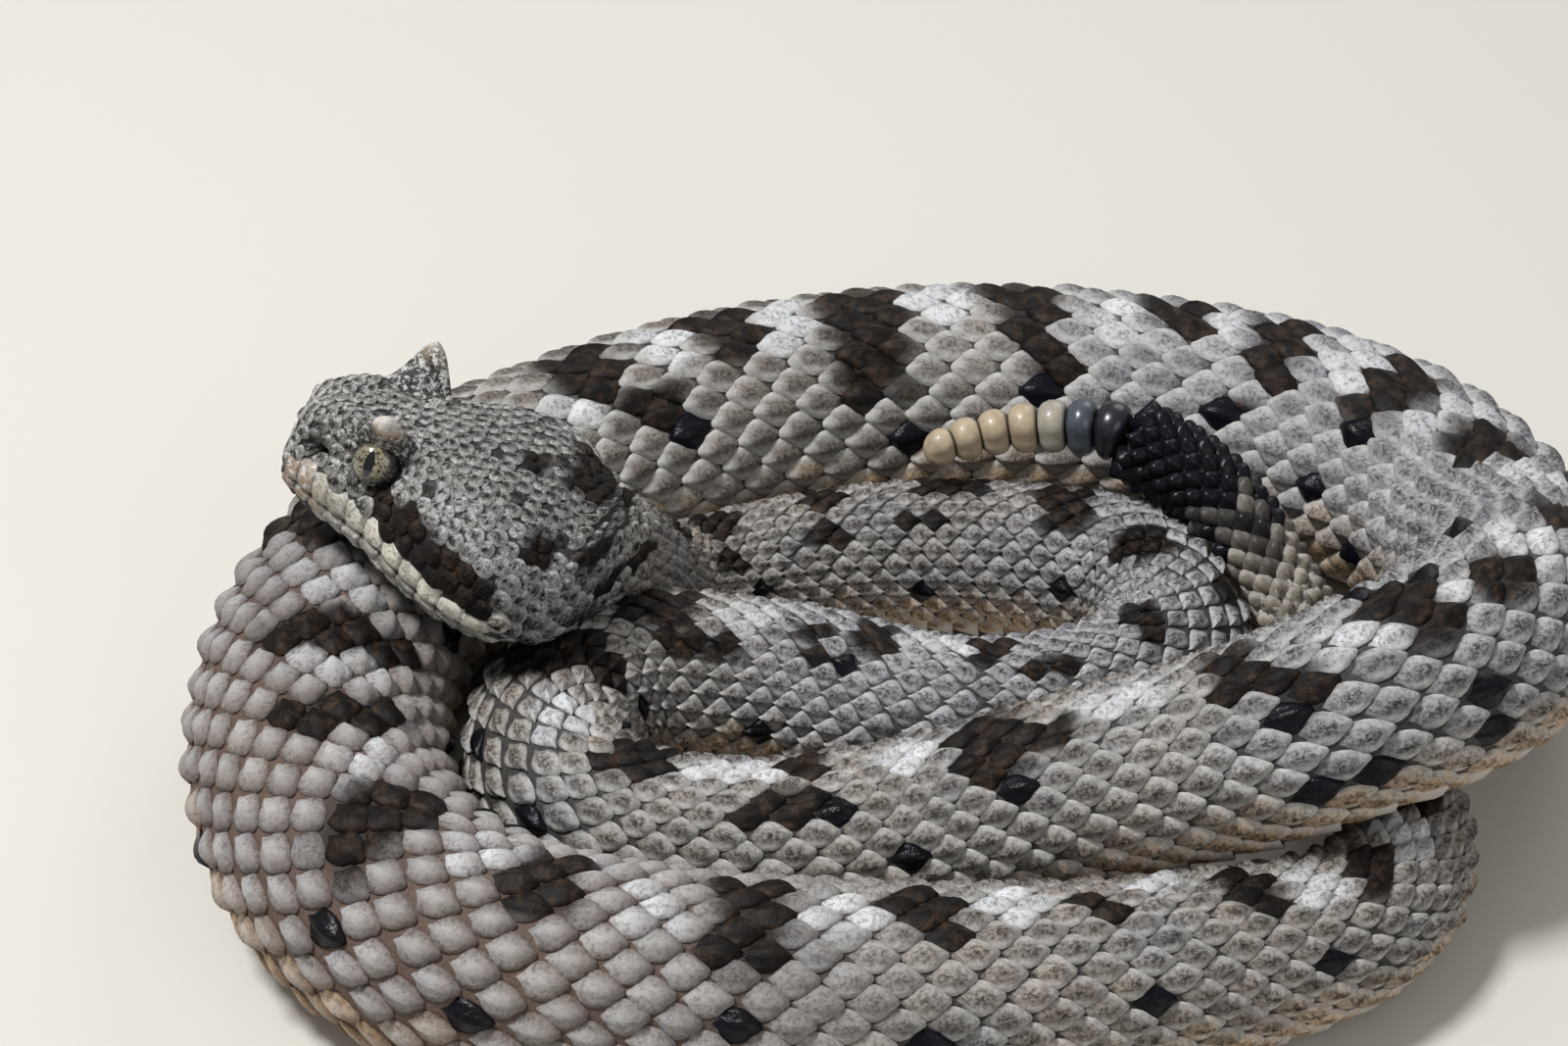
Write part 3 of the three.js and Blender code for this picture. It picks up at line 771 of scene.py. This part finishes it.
def smoothHeight(u, v, dome=0.75, flat=2.2, sunk=0.9):
    rise = 1.25 * math.sin(min(u / 0.8, 1) * math.pi / 2) - 0.5 * (max(u - 0.78, 0) / 0.22) ** 1.6
    return rise + dome * (1 - abs(v) ** flat) * (0.3 + 0.7 * u) - sunk


def keeledHeight(u, v):
    keel = 0.75 * bell(v, 0.22) * math.sin(math.pi * min(max(u ** 1.3, 0), 1)) ** 0.8
    return smoothHeight(u, v, 0.6, 1.8, 0.92) + keel


def domeHeight(u, v):
    x = 2 * u - 1
    return 0.78 * (1 - max(abs(x), abs(v)) ** 2.4) + 0.5 * x - 0.1


def lipHeight(u, v):
    return 0.6 * (1 - max(abs(2 * u - 1), abs(v)) ** 6) + 0.1 * (1 - v * v)


def bellyHeight(u, v):
    return -0.25 + 0.9 * u * (1 - 0.6 * abs(v) ** 8) - 0.2 * abs(v) ** 10


lobe = plateTemplate("lobeScale", (7, 6), lobeOutline, keeledHeight)
leaf = plateTemplate("leafScale", (7, 6), leafOutline, keeledHeight)
smooth = plateTemplate("smoothScale", (6, 5), lobeOutline, smoothHeight)
pebble = plateTemplate("pebbleScale", (5, 5), roundOutline, domeHeight)
lipPlate = plateTemplate("lipPlate", (6, 5), lambda u, v: roundOutline(u, v, 0.16), lipHeight)
bellyPlate = plateTemplate("bellyPlate", (2, 16), lambda u, v: (u, 0.5 * v), bellyHeight)
rootKeys = ("s", "angle", "long", "wide", "turn", "lift", "tone", "grain")


def rootsOf(rows, *extra):
    # one column for each key, from one row for each scale
    return dict(zip(rootKeys + extra, np.array(rows, float).T))


def layScales(name, template, roots, material):
    # roots hold place, size and tone of each scale; the template's u runs towards the tail
    count = len(roots["s"])
    bm = bmesh.new()
    for _ in range(count):
        bm.from_mesh(template["mesh"])
    mesh = meshFrom(bm, name)
    flat = np.empty(len(mesh.vertices) * 3)
    mesh.vertices.foreach_get("co", flat)
    along, side, height = np.moveaxis(flat.reshape(count, -1, 3), 2, 0)
    root = {key: np.asarray(values, float)[:, None] for key, values in roots.items()}
    rootS, rootAngle, turn = root["s"] + 0 * along, root["angle"] + 0 * along, root["turn"]
    x, y = (along - 0.5) * root["long"], side * root["wide"]
    x, y = x * np.cos(turn) - y * np.sin(turn), x * np.sin(turn) + y * np.cos(turn)
    # where a bend squeezes the scales together they stay nearly as long and stand up higher
    onFace = rootS < head["joins"]
    trueSize = np.clip(lookUp(alongSize, rootS, rootAngle), 0.5, 3)
    s = rootS + x / np.where(onFace, trueSize, np.clip(trueSize, 0.75, 1.6) ** 0.6)
    angle = rootAngle + y / np.maximum(lookUp(aroundSize, rootS, rootAngle), 0.4)
    raised = np.where(onFace, 1, np.clip(1.6 - 0.6 * trueSize, 1, 1.45))
    moveCorners(mesh, onSkin(s, angle, height * root["lift"] * raised))
    # markings are read close to the scale's own middle, so that most scales have one tone
    near = 0.25
    masks = markingMasks(rootS + (s - rootS) * near, rootAngle + (angle - rootAngle) * near,
                         root["grain"] + 0 * along)
    bend = masks["warm"]
    hearts = (1 - stretch("plainHearts", rootS)) * (1 - bend) * root.get("heart", 1)
    hearts = hearts * (1 - masks["pale"] * 0.8)
    for key, mask in (("glossy", "spot"), ("darker", "dark"), ("paler", "pale"), ("tan", "flank")):
        masks[mask] = np.maximum(masks[mask], root.get(key, 0))
    fair = (1 - masks["dark"]) * (1 - masks["spot"])
    masks["warm"] = bend * (1 - masks["spot"])
    masks["lips"] = masks["lips"] * (1 - root.get("grey", 0))
    # the middle of a scale and its border; in the near bend a painted highlight on its crest; painted shade
    # at its root, its sides and its underside
    across = np.abs(side) * 2
    low = np.arange(along.shape[1]) >= template["tops"]
    masks["heart"] = bell(across, 0.46) * bell(along - 0.6, 0.28) * hearts
    borderAndHighlight = smoothStep(0.35, 0.95, np.maximum(across, (along - 0.5) * 2)) * (1 - low) * fair
    borderAndHighlight = borderAndHighlight * (1 - masks["blackTail"])
    # in the near bend the border gives way to a painted highlight along the scale's crest
    crestHighlight = 0.85 * bell(across, 0.42) * bell(along - 0.62, 0.3) * fair * (1 - low)
    masks["borderAndHighlight"] = borderAndHighlight + (crestHighlight - borderAndHighlight) * bend
    # painted shade: each scale's root and sides turn to the gap colour where the scales before and beside
    # it overlap, and its underside is dark all over
    edge = 0.13 + 0.34 * across ** 1.6
    rootShade = 0.9 * fade(edge - 0.06, edge + 0.16, along) * root.get("shaded", 1)
    # painted shade down the sides of each scale in the near bend, around the painted highlight on its crest
    sideShade = 0.62 * bend * smoothStep(0.2, 1.05, np.maximum(across, along))
    masks["under"] = np.maximum(low, np.maximum(sideShade, rootShade))
    masks["tone"] = root["tone"] + 0 * along
    storeMasks(mesh, masks)
    u, v = unwrapped(root["s"], root["angle"])
    cell, rim = 0.003, 0.0005            # size of a scale and free rim of the flat layout
    storeLayout(mesh, np.clip(u + (along - 0.5) * cell, rim, 1 - rim),
                np.clip(v + side * cell, rim, 1 - rim))
    print(name, count, "scales,", len(mesh.polygons), "faces")
    return finished(mesh, name, material)


body = {
    "rows": 21, "edge": 118,             # rows of keeled scales and how far round they reach, degrees
    "pitch": [(2, 2.0), (20, 2.2), (60, 2.4), (105, 2.6), (150, 3.1), (200, 3.7), (240, 4.2), (330, 4.2),
              (352, 3.9), (400, 3.6), (440, 3.3), (470, 2.6), (508, 2.2)],
    "first": 6.5, "last": 506.5,
    "lift": [(2.2, 0.40), (3.2, 0.53), (5, 0.72)],
    "uneven": 0.03,                      # spread of place and size
    "layers": {                          # template and reach of each layer of keeled scales
        "scales_inner": (leaf, 0, 130), "scales_crossing": (lobe, 130, 225),
        "scales_outer": (lobe, 225, 372), "scales_hind": (lobe, 372, 488),
    },
}


def pitchNear(s):
    return float(np.interp(s, *zip(*body["pitch"])))


def ringPlaces():
    # stations of the rings of scales, spaced by the local pitch
    s, places = body["first"], []
    while s < body["last"]:
        places.append(s)
        s += pitchNear(s)
    return np.array(places)


ringStations = ringPlaces()


def bodyRoots(low, high, rows, longer=1.2, wider=1.62):
    found = []
    rowStep = math.radians(2 * body["edge"]) / (body["rows"] - 1)
    for place in ringStations:
        if not low <= place < high:
            continue
        pitch = pitchNear(place)
        for row in rows:
            s = place + (0.5 * pitch if row % 2 else 0)
            if s > body["last"]:
                continue
            angle = (row - (body["rows"] - 1) / 2) * rowStep
            spread = float(stretch("spread", s) * smoothStep(-0.5, 0.7, angle))
            snug = 1 - 0.05 * spread
            found.append((
                s + chance.normal(0, body["uneven"]) * pitch,
                angle + chance.normal(0, body["uneven"]) * rowStep,
                pitch * longer * snug * chance.normal(1, body["uneven"]),
                rowStep * sizeAt(aroundSize, s, angle) * wider * snug * chance.normal(1, body["uneven"]),
                chance.normal(0, 0.04),
                np.interp(pitch, *zip(*body["lift"])) * chance.normal(1, 0.07),
                chance.uniform(0.05, 0.95),
                chance.uniform(-1, 1),
                # less painted shade at the root where the scales spread apart
                1 - 0.7 * spread,
                pitch,
            ))
    roots = rootsOf(found, "shaded", "pitch")
    roots["glossy"] = spotsOn(roots["s"], roots["angle"], roots["pitch"], math.degrees(rowStep))
    return roots


for layer, (template, low, high) in body["layers"].items():
    layScales(layer, template, bodyRoots(low, high, range(2, body["rows"] - 2)), finish["keeledScales"])
lowRows = [0, 1, body["rows"] - 2, body["rows"] - 1]
layScales("scales_low", smooth, bodyRoots(0, 488, lowRows, 1.15, 1.8), finish["keeledScales"])

# the tail has fewer, larger, bead-like scales all the way round
tail = {
    "from": 484.5, "to": 507.2, "pitch": 2.0, "rows": 18,
    "lift": 0.66, "longer": 1.12, "wider": 1.75,
}


def tailRoots():
    found = []
    step = 2 * math.pi / tail["rows"]
    for number, place in enumerate(np.arange(tail["from"], tail["to"], tail["pitch"] / 2)):
        for row in range(number % 2, tail["rows"], 2):
            angle = row * step - math.pi + step / 2
            wide = step * sizeAt(aroundSize, place, angle) * tail["wider"]
            found.append((place, angle, tail["pitch"] * tail["longer"], wide, chance.normal(0, 0.05),
                          tail["lift"], chance.uniform(0.2, 0.8), chance.uniform(-1, 1)))
    return rootsOf(found)


layScales("scales_tail", lobe, tailRoots(), finish["tailScales"])

# broad plates across the belly, one to each ring of scales
# shaded: how much painted shade the plates get at their root and sides
belly = {"last": 486, "tucked": 0.34, "longer": 1.6, "lift": 0.8, "shaded": 0.35}


def bellyRoots():
    found = []
    span = 2 * math.pi - math.radians(2 * body["edge"]) + belly["tucked"]
    for place in ringStations[ringStations <= belly["last"]]:
        wide = span * sizeAt(aroundSize, place, math.pi)
        found.append((place, math.pi, pitchNear(place) * belly["longer"], wide, 0, belly["lift"],
                      chance.uniform(0.4, 0.6), chance.uniform(-1, 1), belly["shaded"]))
    return rootsOf(found, "shaded")


layScales("belly_plates", bellyPlate, bellyRoots(), finish["keeledScales"])

# scales of the head: spacing is by place along, the height of the lips by distance from the snout
face = {
    "crown": [(-26, 0.95), (-19, 1.0), (-15, 1.0), (-12, 1.08), (-6, 1.18), (0, 1.25), (8, 1.35)],
    "side": [(-26, 0.95), (-22, 1.1), (-17, 1.4), (-12, 1.6), (-6, 1.72), (0, 1.55), (8, 1.5)],
    "sideUpTo": 3.4, "crownFrom": 6.3,   # heights over the mouth between which the spacing changes
    "throat": 1.7, "throatFrom": 92,
    "thrown": 16000, "closest": 0.78,    # tries, and how near two scales may land, in spacings
    "relaxing": 24, "wanted": 1.08, "push": 0.22,
    "bare": [(-22.2, 0.4, 26, 6), (-20.5, 0.2, 41, 5)],    # nostril and pit, as faceMarks["hollows"]
    "roundEye": 0.45,
    "lipRows": [                         # side of the mouth, heights along it, how grey
        (1, [(0, 1.6), (3, 2.5), (8, 2.3), (14, 1.6), (21, 1.2)], 0),
        (-1, [(0, 1.1), (4, 1.25), (12, 1.35), (21, 1.0)], 0.5),
    ],
    "lips": 11, "firstLip": 0.9, "lastLip": 20.4, "tanTo": 5.5,
    "eyeRing": 14,
}


def besideMouth(s, distance):
    # angle of the place so many millimetres above (or below) the mouth line of the left side
    quarter = np.linspace(math.radians(20), math.radians(170), 301)
    points = lookUp(skinPoints, np.full(301, s), quarter)
    walked = summed(np.linalg.norm(np.diff(points, axis=0), axis=1))
    corner = np.interp(math.pi / 2, quarter, walked)
    return float(np.interp(corner - distance, walked, quarter))


def eyePlace(side):
    back, across, up = head["eye"]
    centre = fromHead([-back, side * across, up])
    away = np.linalg.norm(skinPoints - centre, axis=-1)
    i, j = np.unravel_index(np.argmin(away), away.shape)
    return centre, stationAt[i], ringAngle[j]


def pebbleSpacing(s, angle, points):
    up = intoHead(points)[..., 2]
    crown, side = np.interp(s, *zip(*face["crown"])), np.interp(s, *zip(*face["side"]))
    upper = np.clip((up - face["sideUpTo"]) / (face["crownFrom"] - face["sideUpTo"]), 0, 1)
    spacing = side + (crown - side) * upper
    return np.where(np.abs(angle) > math.radians(face["throatFrom"]), face["throat"], spacing)


def scatterPebbles():
    # even cover of small scales: thrown down at random, then pushed apart until they fit
    first, last = stationAt[1], head["joins"]
    tries = np.stack([chance.uniform(first, last - 0.3, face["thrown"]),
                      chance.uniform(-math.pi, math.pi, face["thrown"])], 1)
    kept, points = [], []
    places = lookUp(skinPoints, tries[:, 0], tries[:, 1])
    spacings = pebbleSpacing(tries[:, 0], tries[:, 1], places)
    for place, point, spacing in zip(tries, places, spacings):
        if points and (np.linalg.norm(np.array(points) - point, axis=1) < spacing * face["closest"]).any():
            continue
        kept.append(place)
        points.append(point)
    s, angle = np.array(kept).T
    for _ in range(face["relaxing"]):
        points = lookUp(skinPoints, s, angle)
        spacing = pebbleSpacing(s, angle, points)
        gap = points[:, None] - points[None]
        away = np.linalg.norm(gap, axis=-1) + np.eye(len(points)) * 99
        wanted = (spacing[:, None] + spacing[None]) / 2 * face["wanted"]
        push = (np.clip(wanted - away, 0, None) / np.maximum(away, 0.05) * face["push"])[..., None] * gap
        push = push.sum(1)
        along, around = ((push * lookUp(way, s, angle)).sum(1) for way in (unitAlong, unitAround))
        moved = s + np.clip(along / np.maximum(lookUp(alongSize, s, angle), 0.4), -0.4, 0.4)
        angle = angle + np.clip(around / np.maximum(lookUp(aroundSize, moved, angle), 0.8), -0.1, 0.1)
        s = np.clip(moved, first, last - 0.2)
    return s, angle


def headRoots():
    s, angle = scatterPebbles()
    points = lookUp(skinPoints, s, angle)
    size = pebbleSpacing(s, angle, points)
    back, _, up = intoHead(points).T * [[-1], [1], [1]]
    top, bottom = (np.interp(back, *zip(*high)) for _, high, _ in face["lipRows"])
    onLips = (up < top) & (up > -bottom - 0.3)
    onLips &= (back > face["firstLip"] - 0.25) & (back < face["lastLip"] + 0.5)
    use = ~onLips
    for middle, half, turned, halfTurned in face["bare"]:
        use &= np.hypot((s - middle) / half, (np.degrees(np.abs(angle)) - turned) / halfTurned) > 1
    for side in (1, -1):
        use &= np.linalg.norm(points - eyePlace(side)[0], axis=1) > head["eyeRadius"] + face["roundEye"]
    size, number = size[use], use.sum()
    return {
        "s": s[use], "angle": angle[use], "long": size * chance.normal(1.55, 0.06, number),
        "wide": size * chance.normal(1.24, 0.05, number), "turn": chance.normal(0, 0.12, number),
        "lift": 0.24 + 0.15 * size, "tone": chance.uniform(0.1, 0.9, number),
        "grain": chance.uniform(-1, 1, number),
        "heart": 0.65 + 0.5 * chance.uniform(0, 1, number), "shaded": np.full(number, 0.8),
        "darker": 0.85 * (chance.uniform(0, 1, number) < 0.05),
    }


def lipRoots():
    found = []
    edges = np.linspace(face["firstLip"] ** 0.8, face["lastLip"] ** 0.8, face["lips"] + 1) ** 1.25
    for side in (1, -1):
        for sign, high, grey in face["lipRows"]:
            for front, rear in zip(edges[:-1], edges[1:]):
                middle = (front + rear) / 2
                reach = float(np.interp(middle, *zip(*high)))
                s = middle - head["length"]
                angle = besideMouth(s, sign * (0.1 + reach / 2))
                found.append((s, side * angle, (rear - front) * chance.uniform(1.1, 1.2),
                              reach * chance.uniform(1.12, 1.24), -side * sign * chance.uniform(0.1, 0.2),
                              chance.uniform(0.34, 0.46), chance.uniform(0.2, 0.9), chance.uniform(-1, 1),
                              0.4 * (middle < face["tanTo"]), grey + chance.uniform(0, 0.3), 0.25))
    return rootsOf(found, "tan", "grey", "shaded")


def eyeRoots():
    # ring of small scales round each eye, the larger pale ones behind it
    found = []
    for side in (1, -1):
        _, s, angle = eyePlace(side)
        for k in range(face["eyeRing"]):
            turn = 2 * math.pi * k / face["eyeRing"]
            behind = max(math.cos(turn), 0)
            away = head["eyeRadius"] + 0.4 + 0.32 * behind
            ds = away * math.cos(turn) / sizeAt(alongSize, s, angle)
            da = away * math.sin(turn) / sizeAt(aroundSize, s, angle)
            found.append((s + ds, angle + side * da, 0.85 + 0.65 * behind, 0.98 + 0.6 * behind,
                          turn * side, 0.42 + 0.2 * behind, 0.2 + 0.7 * behind, chance.uniform(-1, 1),
                          0.4 * (behind < 0.3), 0.75 * (behind > 0.6)))
    return rootsOf(found, "darker", "paler")


layScales("scales_head", pebble, headRoots(), finish["headScales"])
layScales("scales_lips", lipPlate, lipRoots(), finish["lipScales"])
layScales("scales_eye", pebble, eyeRoots(), finish["headScales"])

eyeSettings = {
    "pupil": (0.4, 1.08), "tilt": 8,     # half width and half height of the slit, and its lean
    "iris": colour(104, 99, 80), "irisPale": colour(158, 151, 126), "rim": colour(30, 28, 26),
    "slit": (0.002, 0.002, 0.003, 1), "shade": 0.6, "edge": (1.3, 1.6),
    "segments": 48, "rings": 32,
    "flatter": 0.18,                     # flatter than a ball, as a snake's eye lies under its clear scale
}


def eyeMaterial():
    # slit pupil, speckled iris and a dark rim, all read from two measures stored on the ball
    material, tree, shader = newMaterial("eyeGloss")
    across, along = tree.mask("eyeAcross"), tree.mask("eyeUp")
    iris = tree.mix(tree.cloud("iris"), eyeSettings["iris"], eyeSettings["irisPale"])
    iris = tree.mix(tree.cloud("irisDust"), iris, eyeSettings["rim"])
    parts = [tree.maths("POWER", tree.maths("ABSOLUTE", tree.maths("DIVIDE", value, half)), power)
             for value, half, power in zip((across, along), eyeSettings["pupil"], (1.6, 2.0))]
    slit = tree.ramp(tree.maths("ADD", *parts), 1.12, 0.92)
    # the brow shades the upper half
    shade = tree.times(tree.ramp(along, 0.1, 1.5), eyeSettings["shade"])
    seen = tree.mix(slit, tree.mix(shade, iris, eyeSettings["rim"]), eyeSettings["slit"])
    away = tree.maths("SQRT", tree.maths("ADD", tree.times(across, across), tree.times(along, along)))
    seen = tree.mix(tree.ramp(away, *eyeSettings["edge"]), seen, eyeSettings["rim"])
    tree.fill(shader, {"Base Color": seen, "Roughness": 0.12, "Coat Weight": 0.6, "Coat Roughness": 0.04})
    return material


def makeEyes():
    material = eyeMaterial()
    lean = math.radians(eyeSettings["tilt"])
    for side, node in ((1, "eye_left"), (-1, "eye_right")):
        bm = bmesh.new()
        bmesh.ops.create_uvsphere(bm, u_segments=eyeSettings["segments"], v_segments=eyeSettings["rings"],
                                  radius=head["eyeRadius"])
        mesh = meshFrom(bm, node + "_ball")
        local = np.array([v.co for v in mesh.vertices])
        centre, s, angle = eyePlace(side)
        outward = unit(lookUp(skinNormals, np.array([s]), np.array([angle]))[0] @ headTurn)
        forward = unit(np.array([1.0, 0, 0]) - outward * outward[0])
        upward = np.cross(outward, forward) * side
        forward, upward = (forward * math.cos(lean) + upward * math.sin(lean),
                           upward * math.cos(lean) - forward * math.sin(lean))
        storeMasks(mesh, {"eyeAcross": local @ forward, "eyeUp": local @ upward})
        local = local - outward * (local @ outward * eyeSettings["flatter"])[:, None]
        moveCorners(mesh, (local @ headTurn.T + centre) * mm)
        ball = finished(mesh, node + "_ball", material)
        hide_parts(node)


makeEyes()
print("eyes")


def tube(sides, count):
    # rings of corners joined into a tube, to be moved into place ring by ring
    bm = bmesh.new()
    rings = [bmesh.ops.create_circle(bm, segments=sides, radius=1)["verts"]]
    edges = bm.edges[:]
    for _ in range(count - 1):
        out = bmesh.ops.extrude_edge_only(bm, edges=edges)["geom"]
        rings.append([g for g in out if isinstance(g, bmesh.types.BMVert)])
        edges = [g for g in out if isinstance(g, bmesh.types.BMEdge)]
        edges = [edge for edge in edges if all(vert in rings[-1] for vert in edge.verts)]
    return bm, rings


def closeEnds(bm):
    bmesh.ops.holes_fill(bm, edges=[e for e in bm.edges if e.is_boundary], sides=0)
    bmesh.ops.recalc_face_normals(bm, faces=bm.faces)


# the horns over the eyes: a flat cone that leans outward and sweeps back
hornSettings = {
    "tall": 3.5, "half": 1.1, "long": 2.95, "lean": 34, "sweep": 0.65, "sunk": 1.3, "sides": 20,
    "ridge": (0.16, 0.35), "blunt": 0.82,
    "stations": (0, 0.08, 0.18, 0.3, 0.42, 0.54, 0.66, 0.76, 0.84, 0.9, 0.95, 0.98, 1.0),
    # tip strength: partly the horns' own pale tips, partly a painted highlight on the tip and painted shade
    # at the base, stronger on the left horn
    "tips": {"horn_left": 0.7, "horn_right": 0.35},    # how pale and how dark they are
}


def makeHorns():
    h = hornSettings
    lean = math.radians(h["lean"])
    back, outward, up = head["horn"]
    ridge, ridgeHalf = h["ridge"]
    for side, node in ((1, "horn_left"), (-1, "horn_right")):
        bm, rings = tube(h["sides"], len(h["stations"]))
        for t, ring in zip(h["stations"], rings):
            taper = (1 - t) ** 0.9 * (1 + 0.4 * math.exp(-t * 8))
            cap = math.sqrt(1.002 - (max(t - h["blunt"], 0) / (1 - h["blunt"])) ** 2)
            for vert in ring:
                turn = math.atan2(vert.co.y, vert.co.x)
                x = h["long"] * (0.16 + 0.84 * taper) * cap * math.cos(turn) + h["sweep"] * t ** 1.4
                y = h["half"] * (0.5 + 0.5 * taper) * cap * math.sin(turn)
                y *= 1 + ridge * bell(turn - math.pi / 2, ridgeHalf)
                z = h["tall"] * t - h["sunk"] * (1 - t)
                across = y * math.cos(lean) + z * math.sin(lean)
                rise = z * math.cos(lean) - y * math.sin(lean)
                vert.co = (x - back, side * (outward + across), up + rise)
        closeEnds(bm)
        mesh = meshFrom(bm, node + "_cone")
        local = np.array([v.co for v in mesh.vertices])
        over, above = np.abs(local[:, 1]) - outward, local[:, 2] - up
        height = (over * math.sin(lean) + above * math.cos(lean)) / h["tall"]
        tip = h["tips"][node]
        # pale, cream tip: the horn's own colour with a painted highlight; dark base: painted shade
        storeMasks(mesh, {
            "onHead": np.ones(len(local)), "snout": np.ones(len(local)), "tone": np.full(len(local), 0.6),
            "borderAndHighlight": smoothStep(0.66, 0.92, height) * tip,
            "flank": 0.8 * smoothStep(0.45, 0.7, height) * tip,
            "dark": 0.5 * fade(0.1, 0.5, height) * tip,
        })
        moveCorners(mesh, fromHead(local) * mm)
        horn = finished(mesh, node + "_cone", finish["hornScale"])
        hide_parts(node)


makeHorns()
print("horns")

rattle = {
    "count": 7, "pitch": 2.4, "first": (4.4, 4.8), "last": (2.8, 3.2), "sides": 28,
    "groove": (0.15, 0.3),               # depth and half width of the groove along each side
    "profile": [                         # along, in pitches, and width
        (-0.14, 0.55), (0.0, 0.74), (0.1, 0.93), (0.3, 1.05), (0.55, 1.06), (0.77, 0.95), (0.92, 0.75),
        (1.0, 0.52),
    ],
    "endProfile": [
        (-0.14, 0.55), (0.0, 0.74), (0.12, 0.94), (0.3, 1.04), (0.5, 1.0), (0.7, 0.86), (0.86, 0.64),
        (0.96, 0.38), (0.99, 0.14),
    ],
    "paints": [(28, 31, 37), (72, 78, 87), (164, 158, 144)] + [(180, 163, 136)] * 4,
    "dark": 2, "darkRough": 0.3, "rough": 0.42,    # how many are dark, and how rough each kind is
    "stain": 0.62,
}


def rattleMaterial(name, paint, rough):
    material, tree, shader = newMaterial(name)
    darker = (*[part * rattle["stain"] for part in paint[:3]], 1)
    worn = tree.mix(tree.cloud("stain"), paint, darker)
    # the joins between the beads are painted in the gap colour, as painted shade in the crevice
    seen = tree.mix(tree.mask("jointShade"), worn, palette["gapShade"])
    tree.fill(shader, {"Base Color": seen, "Roughness": rough, "Coat Weight": 0.15})
    return material


def makeRattle():
    groove, grooveHalf = rattle["groove"]
    for k in range(rattle["count"]):
        last, dark = k == rattle["count"] - 1, k < rattle["dark"]
        wide, high = (first + (end - first) * k / (rattle["count"] - 1)
                      for first, end in zip(rattle["first"], rattle["last"]))
        profile = rattle["endProfile" if last else "profile"]
        bm, rings = tube(rattle["sides"], len(profile))
        jointShadeRings = []
        for (part, fat), ring in zip(profile, rings):
            s = np.array([coil["tailEnd"] + rattle["pitch"] * (k + part)])
            _, right, up = (direction[0] for direction in bodyFrame(s))
            for vert in ring:
                turn = math.atan2(vert.co.y, vert.co.x)
                slim = 1 - groove * bell(abs(abs(turn) - math.pi / 2) - math.pi / 2, grooveHalf)
                vert.co = (pointOn(s)[0] + right * (wide / 2 * fat * slim * math.cos(turn))
                           + up * (high / 2 * fat * math.sin(turn))) * mm
            # the rings at the joins, painted dark as shade
            if part < 0.05 or (part > 0.97 and not last):
                jointShadeRings += ring
        closeEnds(bm)
        bm.verts.index_update()
        mask = np.zeros(len(bm.verts))
        mask[[vert.index for vert in jointShadeRings]] = 1
        mesh = meshFrom(bm, "rattle_bead_%d" % (k + 1))
        storeMasks(mesh, {"jointShade": mask})
        rough = rattle["darkRough" if dark else "rough"]
        material = rattleMaterial("rattleHorn_%d" % (k + 1), colour(*rattle["paints"][k]), rough)
        bead = finished(mesh, mesh.name, material)
        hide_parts("rattle_%d" % (k + 1))


makeRattle()
print("rattle")

stage = {
    "floor": colour(205, 202, 195), "size": 1.6, "sky": 0.3,
    "lights": {                          # place, size, power
        "key": ((-0.24, -0.02, 0.50), 0.12, 3.0), "fill": ((0.40, -0.50, 0.35), 0.5, 0.8),
        "back": ((0.25, 0.50, 0.40), 0.4, 0.9),
    },
    "aim": (0, 0, 0.01),
}


def makeStage():
    bm = bmesh.new()
    bmesh.ops.create_grid(bm, x_segments=1, y_segments=1, size=stage["size"])
    floor = bpy.data.objects.new("floor", meshFrom(bm, "floor"))
    bpy.context.scene.collection.objects.link(floor)
    material, tree, shader = newMaterial("paleFloor")
    tree.fill(shader, {"Base Color": stage["floor"], "Roughness": 0.9})
    floor.data.materials.append(material)
    world = bpy.data.worlds.new("studio")
    bpy.context.scene.world = world
    world.use_nodes = True
    background = world.node_tree.nodes["Background"]
    Wiring(world.node_tree).fill(background, {"Color": (1, 1, 1, 1), "Strength": stage["sky"]})
    for name, (place, size, power) in stage["lights"].items():
        light = bpy.data.lights.new(name, "AREA")
        light.shape = "DISK"
        light.size = size
        light.energy = power
        lamp = bpy.data.objects.new(name, light)
        lamp.location = place
        lamp.rotation_euler = (Vector(stage["aim"]) - Vector(place)).to_track_quat("-Z", "Y").to_euler()
        bpy.context.scene.collection.objects.link(lamp)


view = {"aim": (0, 0, 10), "distance": 300, "elevation": 38, "lens": 84.375, "sensor": 36, "clip": 0.01}


def makeCamera():
    lens = bpy.data.cameras.new("camera")
    lens.lens = view["lens"]
    lens.sensor_width = view["sensor"]
    lens.clip_start = view["clip"]
    tilt = math.radians(view["elevation"])
    aim = Vector(view["aim"]) - Vector((*coil["middle"], 0))
    look = Vector((0, math.cos(tilt), -math.sin(tilt)))
    camera = bpy.data.objects.new("camera", lens)
    camera.location = (aim - look * view["distance"]) * mm
    camera.rotation_euler = Euler((math.pi / 2 - tilt, 0, 0))
    bpy.context.scene.collection.objects.link(camera)
    bpy.context.scene.camera = camera


makeStage()
makeCamera()
bpy.context.scene.view_settings.view_transform = "Standard"
